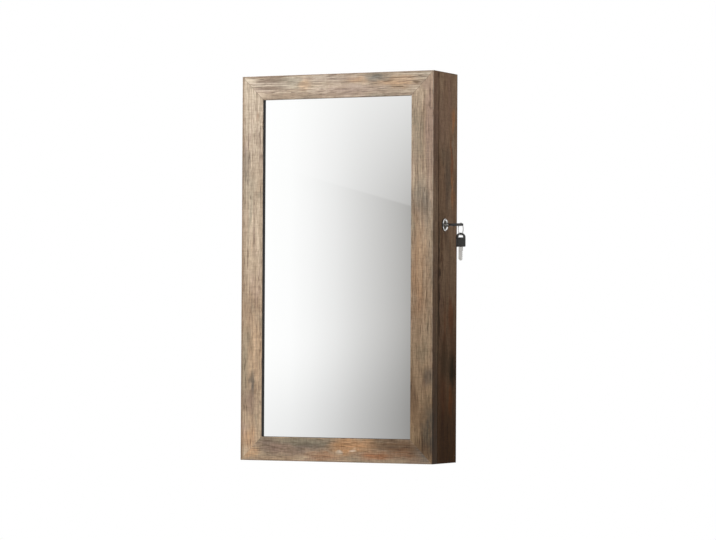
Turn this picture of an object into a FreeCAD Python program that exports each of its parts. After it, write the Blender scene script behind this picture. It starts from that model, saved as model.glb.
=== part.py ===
import FreeCAD, Part
import os
from math import cos, radians, sin

Vec = FreeCAD.Vector
X_AXIS = Vec(1, 0, 0)
Y_AXIS = Vec(0, 1, 0)
Z_AXIS = Vec(0, 0, 1)

# Millimetres. X runs to the lock side, Y to the wall, Z up.
# The origin is midway between the two wall-screw holes, on the plane of the wall.

# Closed cabinet
width = 368.0
height = 670.0
depth = 99.0

# Boards of the case
board = 12.0                 # sides, top and bottom
back_thick = 3.0             # back board
back_inset = 12.0            # back board to the wall, and the rails' thickness
groove_deep = 5.5            # groove that holds the back board
groove_slack = 0.2
hang_rail_tall = 60.0
low_rail_tall = 40.0
wall_hole_span = 240.0
wall_hole_r = 2.75
lining = 1.0                 # velvet sheet
dowel_r = 3.0
dowel_in_side = 9.0          # depth in the side board
dowel_in_end = 21.0          # depth in the top or bottom board
dowel_margin = 20.0          # dowel to the board's front edge, and to the back board's groove

# Door
door_thick = 20.5
door_gap = 2.0               # door to the case
frame_wide = 41.8            # face width of stiles and rails
lip_deep = 5.0               # mirror face behind the frame's face
arris_r = 1.2                # rounded front edges of the frame
glass_thick = 3.0
glass_lap = 6.0              # how far the lip covers the glass
glass_slack = 0.4            # gap round the glass and the door board
ledge_wide = 9.0             # ledge that carries the door board's edge
door_board = 3.0             # board behind the mirror
door_screw_count = 3         # door board screws along each stile, two more on each rail
bar_count = 3                # earring bars
bar_deep = 13.0
bar_tall = 11.0
bar_thick = 2.4
bar_first_down = 120.0       # first bar below the recess's top
bar_pitch = 165.0
slot_wide = 2.2              # slots for earring hooks
slot_deep = 8.0
slot_pitch = 15.0

# Screws
screw_head_r = 2.3
screw_head_deep = 0.9
screw_r = 1.1
screw_long = 10.0
screw_tip = 2.5
screw_slack = 0.05
pan_head_r = 2.8
pan_head_tall = 1.6

# Hinges
hinge_long = 42.0
hinge_inset = 90.0           # hinge centre to the cabinet's top or bottom
leaf_thick = 0.9
leaf_wide = 10.0             # over the board's edge
leaf_screw_span = 24.0
leaf_screw_in = 5.5          # screw line to the board's outer face
knuckle_count = 5
knuckle_r = 2.3
knuckle_play = 0.2           # end play between two knuckles
barrel_off = 0.3             # barrel to the side board's outer face
pin_r = 1.25
pin_play = 0.05
pin_head_r = 1.9
pin_head_tall = 0.8

# Lock
lock_down = 261.8            # lock axis below the cabinet's top
lock_back = 46.6             # lock axis behind the frame's face
bezel_r = 11.0
bezel_thick = 3.0
bezel_round = 1.6
bezel_lip = 0.5              # flat ring between the rounding and the funnel
barrel_r = 8.0
barrel_slack = 0.15
plug_r = 5.9
plug_play = 0.05
plug_head_r = 7.4
plug_head_thick = 1.3
plug_sunk = 1.6              # plug face below the bezel's face
nut_flats = 22.0
nut_thick = 3.5
nut_room = 2.0               # lining cut back round the nut
cam_inside = 8.5             # case's inner face to the cam's near face
cam_thick = 2.0
cam_play = 0.3
cam_hub_r = 7.2
cam_square = 7.0             # square tail of the plug
cam_square_slack = 0.1
cam_screw_r = 2.0
cam_screw_long = 4.6
hook_in_r = 15.0             # hook finger, from the lock axis
hook_out_r = 20.0
hook_tip_deg = 8.0           # above the keeper's plate when locked
hook_nose_deg = 5.0          # rounded nose beyond that
hook_arm_deg = 22.0          # below it, edges of the hook's arm
hook_root_deg = 48.0
lock_turn_deg = 90.0

# Keeper on the door
keeper_thick = 1.5
keeper_wide = 10.0
keeper_tall = 24.0
keeper_screw_ups = (9.0, 18.0)
keeper_bend_r = 2.5
keeper_slot_wide = 6.0
keeper_slot_play = 1.3       # slot to the hook, front and back
keeper_bridge = 4.5          # bar that the hook holds
keeper_corner_r = 2.0

# Keys
key_head_long = 24.2
key_head_wide = 16.4
key_head_thick = 4.2
key_head_edge = 0.9
key_shoulder = 1.2           # cut-off corners beside the blade
key_hole_wide = 10.2
key_hole_near = 3.0          # hole's arched end to the head's end
key_hole_far = 8.0           # hole's flat end to the head's end
key_hole_round = 3.6         # rise of the arched end
blade_wide = 7.2
blade_thick = 2.0
blade_long = 23.4
blade_in_head = 8.0
blade_in_lock = 16.0
blade_point = 3.0
cut_count = 4                # cuts along the blade's edge
cut_deep = 1.6
cut_pitch = 3.4
blade_slack = 0.15
key_way_room = 0.5           # key way beyond the blade's tip
ring_wire_r = 0.7
ring_r = 10.25               # middle of the wire
ring_at = 6.8                # ring's plane to the key head's end
ring_lift = 2.3              # inside of the ring above the middle of the key head's side bar
spare_lift = 0.35            # spare key's hole edge above the wire

# Inside of the case
shelf_board = 8.0
divider_x = -12.0            # middle of the divider
door_kit_room = 18.0         # behind the case's front edge, kept clear for what is on the door
low_shelf_up = 130.0         # top of the lower shelf above the lined bottom
lock_room = 6.0              # hook's sweep to the shelf lip below
lip_thick = 4.0
lip_tall = 16.0
lip_dip = 6.0                # hollow in the lip's upper edge
lip_end = 12.0               # straight stretch at each end of a lip
screw_room = 22.0            # wall-screw line to the ring tray and the peg rail
tray_wall = 5.0
tray_floor = 3.0
tray_deep = 18.0
roll_count = 6
roll_tall = 21.0
roll_deep = 24.0
roll_flat = 16.0             # straight part of a roll's side
roll_gap = 0.6
roll_shrink = 2.2            # drawn-in ends
roll_seam = 3.0              # length over which the end is drawn in
peg_rail_tall = 22.0
peg_rail_thick = 8.0
peg_rail_edge = 3.0
peg_count = 7
peg_pitch = 19.0
peg_r = 2.0
peg_head_r = 4.0
peg_long = 20.0
peg_head_long = 2.0
peg_tenon_r = 1.5
peg_tenon_long = 5.0

# Catch and bumpers
catch_up = 60.0              # above the lined bottom
catch_wide = 11.0
catch_deep = 14.0
catch_tall = 34.0
catch_edge = 3.0
catch_gap = 0.3              # magnet to its plate, door closed
catch_plate_thick = 1.5
catch_plate_tall = 26.0
bumper_r = 4.0
bumper_inset = 30.0
bumper_gap = 0.3

# Planes worked out from the sizes above
x_out = width / 2
x_in = x_out - board
x_lined = x_in - lining
z_top = board + hang_rail_tall / 2
z_bottom = z_top - height
z_in_top = z_top - board
z_in_bottom = z_bottom + board
z_lined_top = z_in_top - lining
z_lined_bottom = z_in_bottom + lining
y_front = -depth
y_mirror = y_front + lip_deep
y_ledge = y_mirror + glass_thick
y_door_board = y_ledge + door_board
y_door_lined = y_door_board + lining
y_door = y_front + door_thick
y_case = y_door + door_gap
y_back = -back_inset - back_thick
y_lined = y_back - lining
y_shelf = y_case + door_kit_room
y_axis = y_door + door_gap / 2
x_axis = -x_out - barrel_off - knuckle_r
y_lock = y_front + lock_back
z_lock = z_top - lock_down
door_mid = (z_top + z_bottom) / 2
leaf_gap = door_gap - 2 * leaf_thick
divider_right = divider_x + shelf_board / 2
divider_left = divider_x - shelf_board / 2


def block(x0, x1, y0, y1, z0, z1):
    return Part.makeBox(x1 - x0, y1 - y0, z1 - z0, Vec(x0, y0, z0))


def rod(radius, start, along, length):
    return Part.makeCylinder(radius, length, start, along)


def prism(points, along):
    """Closed outline of straight lines, pushed along a vector."""
    return Part.Face(Part.makePolygon(points + points[:1])).extrude(along)


def turned(profile, start, along):
    """Solid of revolution; the profile lists distance along the axis and radius."""
    outline = [Vec(radius, 0, far) for far, radius in profile]
    outline = [Vec(0, 0, profile[0][0])] + outline + [Vec(0, 0, profile[-1][0])]
    solid = Part.Face(Part.makePolygon(outline + outline[:1])).revolve(Vec(), Z_AXIS, 360)
    solid.Placement = FreeCAD.Placement(start, FreeCAD.Rotation(Z_AXIS, along))
    return solid


def group(solids):
    return Part.makeCompound(solids)


def save(name, shape):
    shape.exportStep("parts/" + name + ".step")


# Screws: each has its solid, and the hole that it sits in

def flush_screw(at, along):
    return turned(
        [(0, screw_head_r), (screw_head_deep, screw_r),
         (screw_long - screw_tip, screw_r), (screw_long, screw_slack)],
        at, along)


def flush_hole(at, along):
    sink = turned(
        [(0, screw_head_r + screw_slack), (screw_head_deep, screw_r + screw_slack)],
        at, along)
    return sink.fuse(rod(screw_r + screw_slack, at, along, screw_long + screw_slack))


def pan_screw(at, along, radius, length):
    half = pan_head_tall / 2
    return turned(
        [(-pan_head_tall, pan_head_r / 2), (-half, pan_head_r), (0, pan_head_r),
         (0, radius), (length, radius)],
        at, along)


def pan_hole(at, along):
    return rod(screw_r + screw_slack, at, along, screw_long + screw_slack)


# Case boards

def dowel_places():
    """Middle of each dowel at the joint's face, with its direction into the side board."""
    ys = (y_case + dowel_margin, y_back - dowel_margin)
    zs = (z_top - board / 2, z_bottom + board / 2)
    return [(Vec(side * x_in, y, z), X_AXIS * side) for side in (-1, 1) for y in ys for z in zs]


def dowel(place, slack):
    middle, outward = place
    start = middle - outward * (dowel_in_end + slack)
    return rod(dowel_r + slack, start, outward, dowel_in_end + dowel_in_side + 2 * slack)


def dowel_holes():
    return group([dowel(place, screw_slack) for place in dowel_places()])


def back_groove():
    half = groove_slack / 2
    return block(
        -x_in - groove_deep - half, x_in + groove_deep + half,
        y_back - half, -back_inset + half,
        z_in_bottom - groove_deep - half, z_in_top + groove_deep + half)


def side_board(side):
    sheet = block(-x_out, -x_in, y_case, 0, z_bottom, z_top)
    if side > 0:
        sheet = block(x_in, x_out, y_case, 0, z_bottom, z_top)
    return sheet.cut(back_groove()).cut(dowel_holes())


def end_board(z0, z1):
    return block(-x_in, x_in, y_case, 0, z0, z1).cut(back_groove()).cut(dowel_holes())


def wall_holes():
    starts = [Vec(side * wall_hole_span / 2, -depth, 0) for side in (-1, 1)]
    return group([rod(wall_hole_r, start, Y_AXIS, depth) for start in starts])


def back_board():
    sheet = block(
        -x_in - groove_deep, x_in + groove_deep, y_back, -back_inset,
        z_in_bottom - groove_deep, z_in_top + groove_deep)
    return sheet.cut(wall_holes())


def hanging_rail():
    rail = block(-x_in, x_in, -back_inset, 0, z_in_top - hang_rail_tall, z_in_top)
    return rail.cut(wall_holes())


def low_rail():
    return block(-x_in, x_in, -back_inset, 0, z_in_bottom, z_in_bottom + low_rail_tall)


def nut_clearance():
    return rod(nut_flats / 2 + nut_room, Vec(x_lined - lining, y_lock, z_lock), X_AXIS, 2 * lining)


def lining_back():
    return block(-x_in, x_in, y_lined, y_back, z_in_bottom, z_in_top).cut(wall_holes())


def lining_walls():
    y0 = y_case + lining
    left = block(-x_in, -x_lined, y0, y_lined, z_in_bottom, z_in_top)
    right = block(x_lined, x_in, y0, y_lined, z_in_bottom, z_in_top).cut(nut_clearance())
    top = block(-x_lined, x_lined, y0, y_lined, z_lined_top, z_in_top)
    bottom = block(-x_lined, x_lined, y0, y_lined, z_in_bottom, z_lined_bottom)
    return group([left, right, top, bottom])


# Inside of the case

z_low_shelf = z_lined_bottom + low_shelf_up
z_high_shelf = z_lock - hook_out_r - lock_room - lip_tall
z_mid_shelf = (z_low_shelf + z_high_shelf) / 2
tray_tall = roll_count * (roll_tall + roll_gap) + roll_gap + 2 * tray_wall
z_tray = -screw_room
peg_rail_right = divider_left


def divider():
    nose = shelf_board / 2
    sheet = block(divider_left, divider_right, y_shelf + nose, y_lined, z_low_shelf, z_lined_top)
    edge = rod(nose, Vec(divider_x, y_shelf + nose, z_low_shelf), Z_AXIS, z_lined_top - z_low_shelf)
    notch = block(-x_lined, x_lined, y_shelf, y_shelf + lip_thick, z_low_shelf, z_low_shelf + lip_tall)
    return sheet.fuse(edge).removeSplitter().cut(notch)


def shelf(x0, x1, z):
    return block(x0, x1, y_shelf + lip_thick, y_lined, z - shelf_board, z)


def shelf_lip(x0, x1, z):
    """Strip on the shelf's front edge, its upper edge hollowed by an arc."""
    z0 = z - shelf_board
    z1 = z0 + shelf_board + lip_tall
    corners = [
        Vec(x0 + lip_end, y_shelf, z1), Vec(x0, y_shelf, z1), Vec(x0, y_shelf, z0),
        Vec(x1, y_shelf, z0), Vec(x1, y_shelf, z1), Vec(x1 - lip_end, y_shelf, z1)]
    hollow = Part.Arc(corners[-1], Vec((x0 + x1) / 2, y_shelf, z1 - lip_dip), corners[0])
    outline = Part.Wire([hollow.toShape()] + Part.makePolygon(corners).Edges)
    return Part.Face(outline).extrude(Y_AXIS * lip_thick)


def shelf_lips():
    right = (divider_right, x_lined)
    return group([
        shelf_lip(-x_lined, x_lined, z_low_shelf),
        shelf_lip(right[0], right[1], z_mid_shelf),
        shelf_lip(right[0], right[1], z_high_shelf)])


def ring_tray():
    x0 = divider_right
    z1 = z_tray - tray_tall
    body = block(x0, x_lined, y_lined - tray_deep, y_lined, z1, z_tray)
    hollow = block(
        x0 + tray_wall, x_lined - tray_wall, y_lined - tray_deep - tray_floor, y_lined - tray_floor,
        z1 + tray_wall, z_tray - tray_wall)
    return body.cut(hollow)


def roll_section(x, z, shrink):
    """Section of a ring roll: flat back and sides, crowned front."""
    half = roll_tall / 2 - shrink
    y0 = y_lined - tray_floor - screw_slack
    y1 = y0 - roll_flat
    crown = Vec(x, y0 - roll_deep + shrink, z)
    low_back, high_back = Vec(x, y0, z - half), Vec(x, y0, z + half)
    low_side, high_side = Vec(x, y1, z - half), Vec(x, y1, z + half)
    edges = [
        Part.makeLine(low_back, high_back), Part.makeLine(high_back, high_side),
        Part.Arc(high_side, crown, low_side).toShape(), Part.makeLine(low_side, low_back)]
    return Part.Wire(edges)


def ring_roll(index):
    z = z_tray - tray_wall - roll_gap - roll_tall / 2 - index * (roll_tall + roll_gap)
    x0 = divider_right + tray_wall + roll_gap
    x1 = x_lined - tray_wall - roll_gap
    stations = [
        (x0, roll_shrink), (x0 + roll_seam, roll_shrink / 4), (x0 + 3 * roll_seam, 0),
        (x1 - 3 * roll_seam, 0), (x1 - roll_seam, roll_shrink / 4), (x1, roll_shrink)]
    return Part.makeLoft([roll_section(x, z, shrink) for x, shrink in stations], True, True)


def peg_places():
    middle = (-x_lined + peg_rail_right) / 2
    z = z_tray - peg_rail_tall / 2
    first = middle - peg_pitch * (peg_count - 1) / 2
    return [Vec(first + i * peg_pitch, y_lined - peg_rail_thick, z) for i in range(peg_count)]


def peg_rail():
    z0 = z_tray - peg_rail_tall
    y0 = y_lined - peg_rail_thick
    outline = [
        Vec(-x_lined, y_lined, z0), Vec(-x_lined, y_lined, z_tray),
        Vec(-x_lined, y0 + peg_rail_edge, z_tray), Vec(-x_lined, y0, z_tray - peg_rail_edge),
        Vec(-x_lined, y0, z0 + peg_rail_edge), Vec(-x_lined, y0 + peg_rail_edge, z0)]
    rail = prism(outline, X_AXIS * (peg_rail_right + x_lined))
    deep = peg_tenon_long + screw_slack
    tenons = [rod(peg_tenon_r + screw_slack, at, Y_AXIS, deep) for at in peg_places()]
    return rail.cut(group(tenons))


def necklace_peg(at):
    throat = peg_long - 2 * peg_head_long
    return turned(
        [(-peg_tenon_long, peg_tenon_r), (0, peg_tenon_r), (0, peg_head_r), (peg_head_long, peg_r),
         (throat, peg_r), (peg_long - peg_head_long, peg_head_r), (peg_long, peg_head_r / 2)],
        at, Y_AXIS * -1)


# Door frame

def frame_section():
    """Section of a frame member: x from the outer edge to the mirror, y from front to back."""
    x1 = frame_wide
    x2 = frame_wide - glass_lap
    x3 = x2 - ledge_wide
    bow = arris_r * (1 - cos(radians(45)))
    points = [
        Vec(x1, arris_r, 0), Vec(x1, lip_deep, 0), Vec(x2, lip_deep, 0),
        Vec(x2, lip_deep + glass_thick, 0), Vec(x3, lip_deep + glass_thick, 0),
        Vec(x3, door_thick, 0), Vec(0, door_thick, 0), Vec(0, arris_r, 0)]
    outer = Part.Arc(Vec(0, arris_r, 0), Vec(bow, bow, 0), Vec(arris_r, 0, 0))
    inner = Part.Arc(Vec(x1 - arris_r, 0, 0), Vec(x1 - bow, bow, 0), Vec(x1, arris_r, 0))
    face_line = Part.makeLine(Vec(arris_r, 0, 0), Vec(x1 - arris_r, 0, 0))
    edges = Part.makePolygon(points).Edges
    return Part.Face(Part.Wire(edges + [outer.toShape(), face_line, inner.toShape()]))


def frame_member(length, turn, place):
    """Member with both ends mitred, turned about Y into its place in the frame."""
    half = length / 2
    bar = frame_section().extrude(Z_AXIS * length)
    bar.translate(Vec(0, 0, -half))
    mitres = [Vec(0, 0, -half), Vec(0, 0, half), Vec(frame_wide, 0, half - frame_wide),
              Vec(frame_wide, 0, frame_wide - half)]
    bar = bar.common(prism(mitres, Y_AXIS * door_thick))
    bar.rotate(Vec(), Y_AXIS, turn)
    bar.translate(place)
    return bar


def stile(side):
    turn = 0 if side < 0 else 180
    return frame_member(height, turn, Vec(side * x_out, y_front, door_mid))


def rail(z, turn):
    return frame_member(width, turn, Vec(0, y_front, z))


def mirror_glass():
    x = x_out - frame_wide + glass_lap - glass_slack
    rise = frame_wide - glass_lap + glass_slack
    return block(-x, x, y_mirror, y_ledge, z_bottom + rise, z_top - rise)


def door_board_reach():
    """Half width of the door board, and its edge's distance from the frame's edge."""
    rise = frame_wide - glass_lap - ledge_wide + glass_slack
    return x_out - rise, rise


def door_screw_places():
    x, rise = door_board_reach()
    inset = ledge_wide / 2
    xs = (-x + inset, x - inset)
    top, bottom = z_top - rise - inset, z_bottom + rise + inset
    step = (top - bottom) / (door_screw_count + 1)
    zs = [bottom + (i + 1) * step for i in range(door_screw_count)]
    sides = [Vec(side, y_door_board, z) for side in xs for z in zs]
    return sides + [Vec(0, y_door_board, z) for z in (top, bottom)]


def short_screw_hole(at):
    return rod(screw_r + screw_slack, at, Y_AXIS * -1, door_board + glass_thick + lip_deep / 2)


def door_board_sheet():
    x, rise = door_board_reach()
    sheet = block(-x, x, y_ledge, y_door_board, z_bottom + rise, z_top - rise)
    return sheet.cut(group([short_screw_hole(at) for at in door_screw_places()]))


def door_board_screws():
    length = door_board + glass_thick + lip_deep / 2 - screw_slack
    return group([pan_screw(at, Y_AXIS * -1, screw_r, length) for at in door_screw_places()])


def lining_door_reach():
    """Half width of the door's lining, and its edge's distance from the frame's edge."""
    x, rise = door_board_reach()
    clear = ledge_wide + pan_head_r / 2
    return x - clear, rise + clear


def lining_door():
    x, rise = lining_door_reach()
    return block(-x, x, y_door_board, y_door_lined, z_bottom + rise, z_top - rise)


def earring_bar(index):
    """Ledge with a back flange, its front edge slotted for earring hooks."""
    x, _ = lining_door_reach()
    z = z_top - frame_wide - bar_first_down - index * bar_pitch
    ledge = block(-x, x, y_door_lined, y_door_lined + bar_deep, z - bar_thick, z)
    flange = block(-x, x, y_door_lined, y_door_lined + bar_thick, z - bar_tall, z)
    count = int((2 * x - slot_pitch) / slot_pitch)
    first = -slot_pitch * (count - 1) / 2
    y1 = y_door_lined + bar_deep
    slots = []
    for i in range(count):
        middle = first + i * slot_pitch
        x0, x1 = middle - slot_wide / 2, middle + slot_wide / 2
        slots.append(block(x0, x1, y1 - slot_deep, y1, z - bar_thick, z))
    return ledge.fuse(flange).removeSplitter().cut(group(slots))


# Hinges

def hinge_mid(end):
    return z_top - hinge_inset if end == "upper" else z_bottom + hinge_inset


def knuckle_span(index, z_mid):
    pitch = hinge_long / knuckle_count
    z0 = z_mid - hinge_long / 2 + index * pitch
    return z0 + knuckle_play / 2, z0 + pitch - knuckle_play / 2


def leaf_screw_places(z_mid, way):
    x = -x_out + leaf_screw_in
    y = y_axis + way * leaf_gap / 2
    return [Vec(x, y, z_mid + side * leaf_screw_span / 2) for side in (-1, 1)]


def hinge_leaf(z_mid, way, first):
    """Leaf with every second knuckle; way is +1 on the case and -1 on the door."""
    ya = y_axis + way * leaf_gap / 2
    yb = ya + way * leaf_thick
    y0, y1 = min(ya, yb), max(ya, yb)
    clear_x = x_axis + knuckle_r + barrel_off
    leaf = block(clear_x, -x_out + leaf_wide, y0, y1, z_mid - hinge_long / 2, z_mid + hinge_long / 2)
    inner_x = x_axis + (pin_r + pin_play + knuckle_r) / 2
    for index in range(first, knuckle_count, 2):
        z0, z1 = knuckle_span(index, z_mid)
        leaf = leaf.fuse(rod(knuckle_r, Vec(x_axis, y_axis, z0), Z_AXIS, z1 - z0))
        leaf = leaf.fuse(block(inner_x, clear_x, y0, y1, z0, z1))
    bore = rod(pin_r + pin_play, Vec(x_axis, y_axis, z_mid - hinge_long), Z_AXIS, 2 * hinge_long)
    holes = [flush_hole(at, Y_AXIS * way) for at in leaf_screw_places(z_mid, way)]
    return leaf.removeSplitter().cut(group([bore] + holes))


def hinge_pin(z_mid):
    half = hinge_long / 2
    mid, end = half + pin_head_tall / 2, half + pin_head_tall
    return turned(
        [(-end, pin_head_r / 2), (-mid, pin_head_r), (-half, pin_head_r), (-half, pin_r),
         (half, pin_r), (half, pin_head_r), (mid, pin_head_r), (end, pin_head_r / 2)],
        Vec(x_axis, y_axis, z_mid), Z_AXIS)


def all_leaf_places(way):
    return [at for end in ("upper", "lower") for at in leaf_screw_places(hinge_mid(end), way)]


def leaf_screws(way):
    return group([flush_screw(at, Y_AXIS * way) for at in all_leaf_places(way)])


def leaf_screw_holes(way):
    return group([flush_hole(at, Y_AXIS * way) for at in all_leaf_places(way)])


# Lock: the body is fixed in the side board, the plug turns in it with the cam

x_cam = x_in - cam_inside               # near face of the cam
x_bezel = x_out + bezel_thick


def lock_point(x):
    return Vec(x, y_lock, z_lock)


def lock_body():
    barrel_end = x_cam + cam_play
    body = turned(
        [(barrel_end, barrel_r), (x_out, barrel_r), (x_out, bezel_r), (x_bezel, bezel_r)],
        lock_point(0), X_AXIS)
    face_edges = [edge for edge in body.Edges if edge.BoundBox.XMin > x_bezel - screw_slack]
    rims = [edge for edge in face_edges if edge.BoundBox.YLength > bezel_r]
    body = body.makeFillet(bezel_round, rims)
    bore = rod(plug_r + plug_play, lock_point(barrel_end - board), X_AXIS, 3 * board)
    seat = x_bezel - plug_sunk - plug_head_thick - plug_play
    sink = rod(plug_head_r + plug_play, lock_point(seat), X_AXIS, x_bezel - seat + board)
    funnel = turned(
        [(x_bezel - plug_sunk, plug_head_r + plug_play), (x_bezel, bezel_r - bezel_round - bezel_lip)],
        lock_point(0), X_AXIS)
    return body.cut(bore).cut(sink).cut(funnel)


def lock_nut():
    corner = nut_flats / 2 / cos(radians(30))
    x0 = x_in - nut_thick
    turns = [radians(60 * i) for i in range(6)]
    points = [lock_point(x0) + Vec(0, corner * cos(turn), corner * sin(turn)) for turn in turns]
    nut = prism(points, X_AXIS * nut_thick)
    return nut.cut(rod(barrel_r + screw_slack, lock_point(x0), X_AXIS, nut_thick))


def lock_hole():
    return rod(barrel_r + barrel_slack, lock_point(x_in - board), X_AXIS, 3 * board)


def key_way():
    """Slot for the blade, as deep as the blade goes in."""
    tall = blade_thick / 2 + blade_slack
    wide = blade_wide / 2 + blade_slack
    return block(
        x_bezel - blade_in_lock - key_way_room, x_bezel,
        y_lock - wide, y_lock + wide, z_lock - tall, z_lock + tall)


def lock_plug():
    face = x_bezel - plug_sunk
    barrel_end = x_cam + cam_play
    neck = face - plug_head_thick
    plug = turned(
        [(barrel_end, plug_r), (neck, plug_r), (neck, plug_head_r), (face, plug_head_r)],
        lock_point(0), X_AXIS)
    half = cam_square / 2
    tail = block(
        x_cam - cam_thick, barrel_end,
        y_lock - half, y_lock + half, z_lock - half, z_lock + half)
    tail_end = lock_point(x_cam - cam_thick)
    hole = rod(cam_screw_r + screw_slack, tail_end, X_AXIS, cam_screw_long + screw_slack)
    return plug.fuse(tail).removeSplitter().cut(key_way()).cut(hole)


def polar(radius, degrees):
    """Point of the cam's plane when locked; 0 degrees is towards the door, 90 is up."""
    angle = radians(degrees)
    return Vec(x_cam - cam_thick, y_lock - radius * cos(angle), z_lock + radius * sin(angle))


def lock_cam():
    """Hook cam: the finger is an arc about the lock axis, so that it rises into the keeper's slot."""
    tip, root, arm = hook_tip_deg, -hook_root_deg, -hook_arm_deg
    r0, r1 = hook_in_r, hook_out_r
    nose = polar((r0 + r1) / 2, tip + hook_nose_deg)
    edges = [
        Part.Arc(polar(r1, tip), polar(r1, (tip + root) / 2), polar(r1, root)).toShape(),
        Part.makeLine(polar(r1, root), polar(0, 0)),
        Part.makeLine(polar(0, 0), polar(r0, arm)),
        Part.Arc(polar(r0, arm), polar(r0, (arm + tip) / 2), polar(r0, tip)).toShape(),
        Part.Arc(polar(r0, tip), nose, polar(r1, tip)).toShape()]
    hook = Part.Face(Part.Wire(edges)).extrude(X_AXIS * cam_thick)
    cam = hook.fuse(rod(cam_hub_r, lock_point(x_cam - cam_thick), X_AXIS, cam_thick)).removeSplitter()
    half = cam_square / 2 + cam_square_slack
    square = block(
        x_cam - board, x_cam + board,
        y_lock - half, y_lock + half, z_lock - half, z_lock + half)
    cam = cam.cut(square)
    cam.rotate(lock_point(0), X_AXIS, lock_turn_deg)
    return cam


def cam_screw():
    """Its head covers the square tail's corners, and so holds the cam."""
    head_r = cam_square * cos(radians(45)) + cam_square_slack + screw_slack
    x0 = x_cam - cam_thick
    return turned(
        [(-pan_head_tall, head_r / 2), (-pan_head_tall / 2, head_r), (0, head_r), (0, cam_screw_r),
         (cam_screw_long, cam_screw_r)],
        lock_point(x0), X_AXIS)


# Keeper: an angle on the stile's back, its slot in the hook's path

keeper_mid = x_cam - cam_thick / 2
keeper_x0 = keeper_mid - keeper_wide / 2
slot_front = y_lock - hook_out_r - keeper_slot_play
slot_back = y_lock - hook_in_r + keeper_slot_play
keeper_end = slot_back + keeper_bridge


def keeper_screw_places():
    return [Vec(keeper_mid, y_door + keeper_thick, z_lock + up) for up in keeper_screw_ups]


def keeper_profile():
    z0 = z_lock - keeper_thick / 2
    z1 = z0 + keeper_thick
    ya, yb = y_door, y_door + keeper_thick
    outer, inner = keeper_bend_r, keeper_bend_r - keeper_thick
    turn = 1 - cos(radians(45))
    x = keeper_x0
    outer_mid = Vec(x, ya + outer * turn, z0 + outer * turn)
    inner_mid = Vec(x, yb + inner * turn, z1 + inner * turn)
    edges = [
        Part.Arc(Vec(x, ya, z0 + outer), outer_mid, Vec(x, ya + outer, z0)).toShape(),
        Part.makeLine(Vec(x, ya + outer, z0), Vec(x, keeper_end, z0)),
        Part.makeLine(Vec(x, keeper_end, z0), Vec(x, keeper_end, z1)),
        Part.makeLine(Vec(x, keeper_end, z1), Vec(x, yb + inner, z1)),
        Part.Arc(Vec(x, yb + inner, z1), inner_mid, Vec(x, yb, z1 + inner)).toShape(),
        Part.makeLine(Vec(x, yb, z1 + inner), Vec(x, yb, z_lock + keeper_tall)),
        Part.makeLine(Vec(x, yb, z_lock + keeper_tall), Vec(x, ya, z_lock + keeper_tall)),
        Part.makeLine(Vec(x, ya, z_lock + keeper_tall), Vec(x, ya, z0 + outer))]
    return Part.Face(Part.Wire(edges))


def keeper():
    angle = keeper_profile().extrude(X_AXIS * keeper_wide)
    half = keeper_slot_wide / 2
    slot = block(
        keeper_mid - half, keeper_mid + half, slot_front, slot_back,
        z_lock - keeper_thick, z_lock + keeper_thick)
    corners = [edge for edge in angle.Edges if is_keeper_corner(edge)]
    angle = angle.makeFillet(keeper_corner_r, corners)
    holes = [pan_hole(at, Y_AXIS * -1) for at in keeper_screw_places()]
    return angle.cut(group([slot] + holes))


def is_keeper_corner(edge):
    box = edge.BoundBox
    at_end = abs(box.YMin - keeper_end) + abs(box.YMax - keeper_end) < screw_slack
    at_top = abs(box.ZMin - z_lock - keeper_tall) + abs(box.ZMax - z_lock - keeper_tall) < screw_slack
    return box.XLength < screw_slack and (at_end or at_top)


def keeper_screws():
    return group([pan_screw(at, Y_AXIS * -1, screw_r, screw_long) for at in keeper_screw_places()])


def keeper_pilot_holes():
    return group([pan_hole(at, Y_AXIS * -1) for at in keeper_screw_places()])


# Keys: drawn flat with the head's end at 0, the length along X, the width along Y

def key_head_flat():
    half = key_head_wide / 2
    low = key_head_long - key_shoulder
    sides = [
        Vec(half, half, 0), Vec(low, half, 0), Vec(key_head_long, half - key_shoulder, 0),
        Vec(key_head_long, key_shoulder - half, 0), Vec(low, -half, 0), Vec(half, -half, 0)]
    crown = Part.Arc(sides[-1], Vec(), sides[0]).toShape()
    outline = Part.Face(Part.Wire(Part.makePolygon(sides).Edges + [crown]))
    wide = key_hole_wide / 2
    near = key_hole_near + key_hole_round
    far = key_hole_far
    bar = [Vec(near, wide, 0), Vec(far, wide, 0), Vec(far, -wide, 0), Vec(near, -wide, 0)]
    arch = Part.Arc(bar[-1], Vec(key_hole_near, 0, 0), bar[0]).toShape()
    hole = Part.Face(Part.Wire(Part.makePolygon(bar).Edges + [arch]))
    head = outline.cut(hole).extrude(Z_AXIS * key_head_thick)
    head.translate(Vec(0, 0, -key_head_thick / 2))
    rims = [edge for edge in head.Edges if edge.BoundBox.ZLength < screw_slack]
    return head.makeChamfer(key_head_edge, rims)


def key_blade_flat():
    """Blade from inside the head to its tip, with cuts along one edge."""
    x0 = key_head_long - blade_in_head
    x1 = key_head_long + blade_long
    half = blade_wide / 2
    blade = prism(
        [Vec(x0, -half, 0), Vec(x0, half, 0), Vec(x1 - blade_point, half, 0), Vec(x1, half / 3, 0),
         Vec(x1, -half / 3, 0), Vec(x1 - blade_point, -half, 0)],
        Z_AXIS * blade_thick)
    cuts = []
    for i in range(cut_count):
        x = x1 - blade_point - (i + 1 / 2) * cut_pitch
        wide = cut_pitch / 2
        notch = [Vec(x - wide, -half, 0), Vec(x + wide, -half, 0), Vec(x, cut_deep - half, 0)]
        cuts.append(prism(notch, Z_AXIS * blade_thick))
    blade = blade.cut(group(cuts))
    blade.translate(Vec(0, 0, -blade_thick / 2))
    return blade


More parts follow.
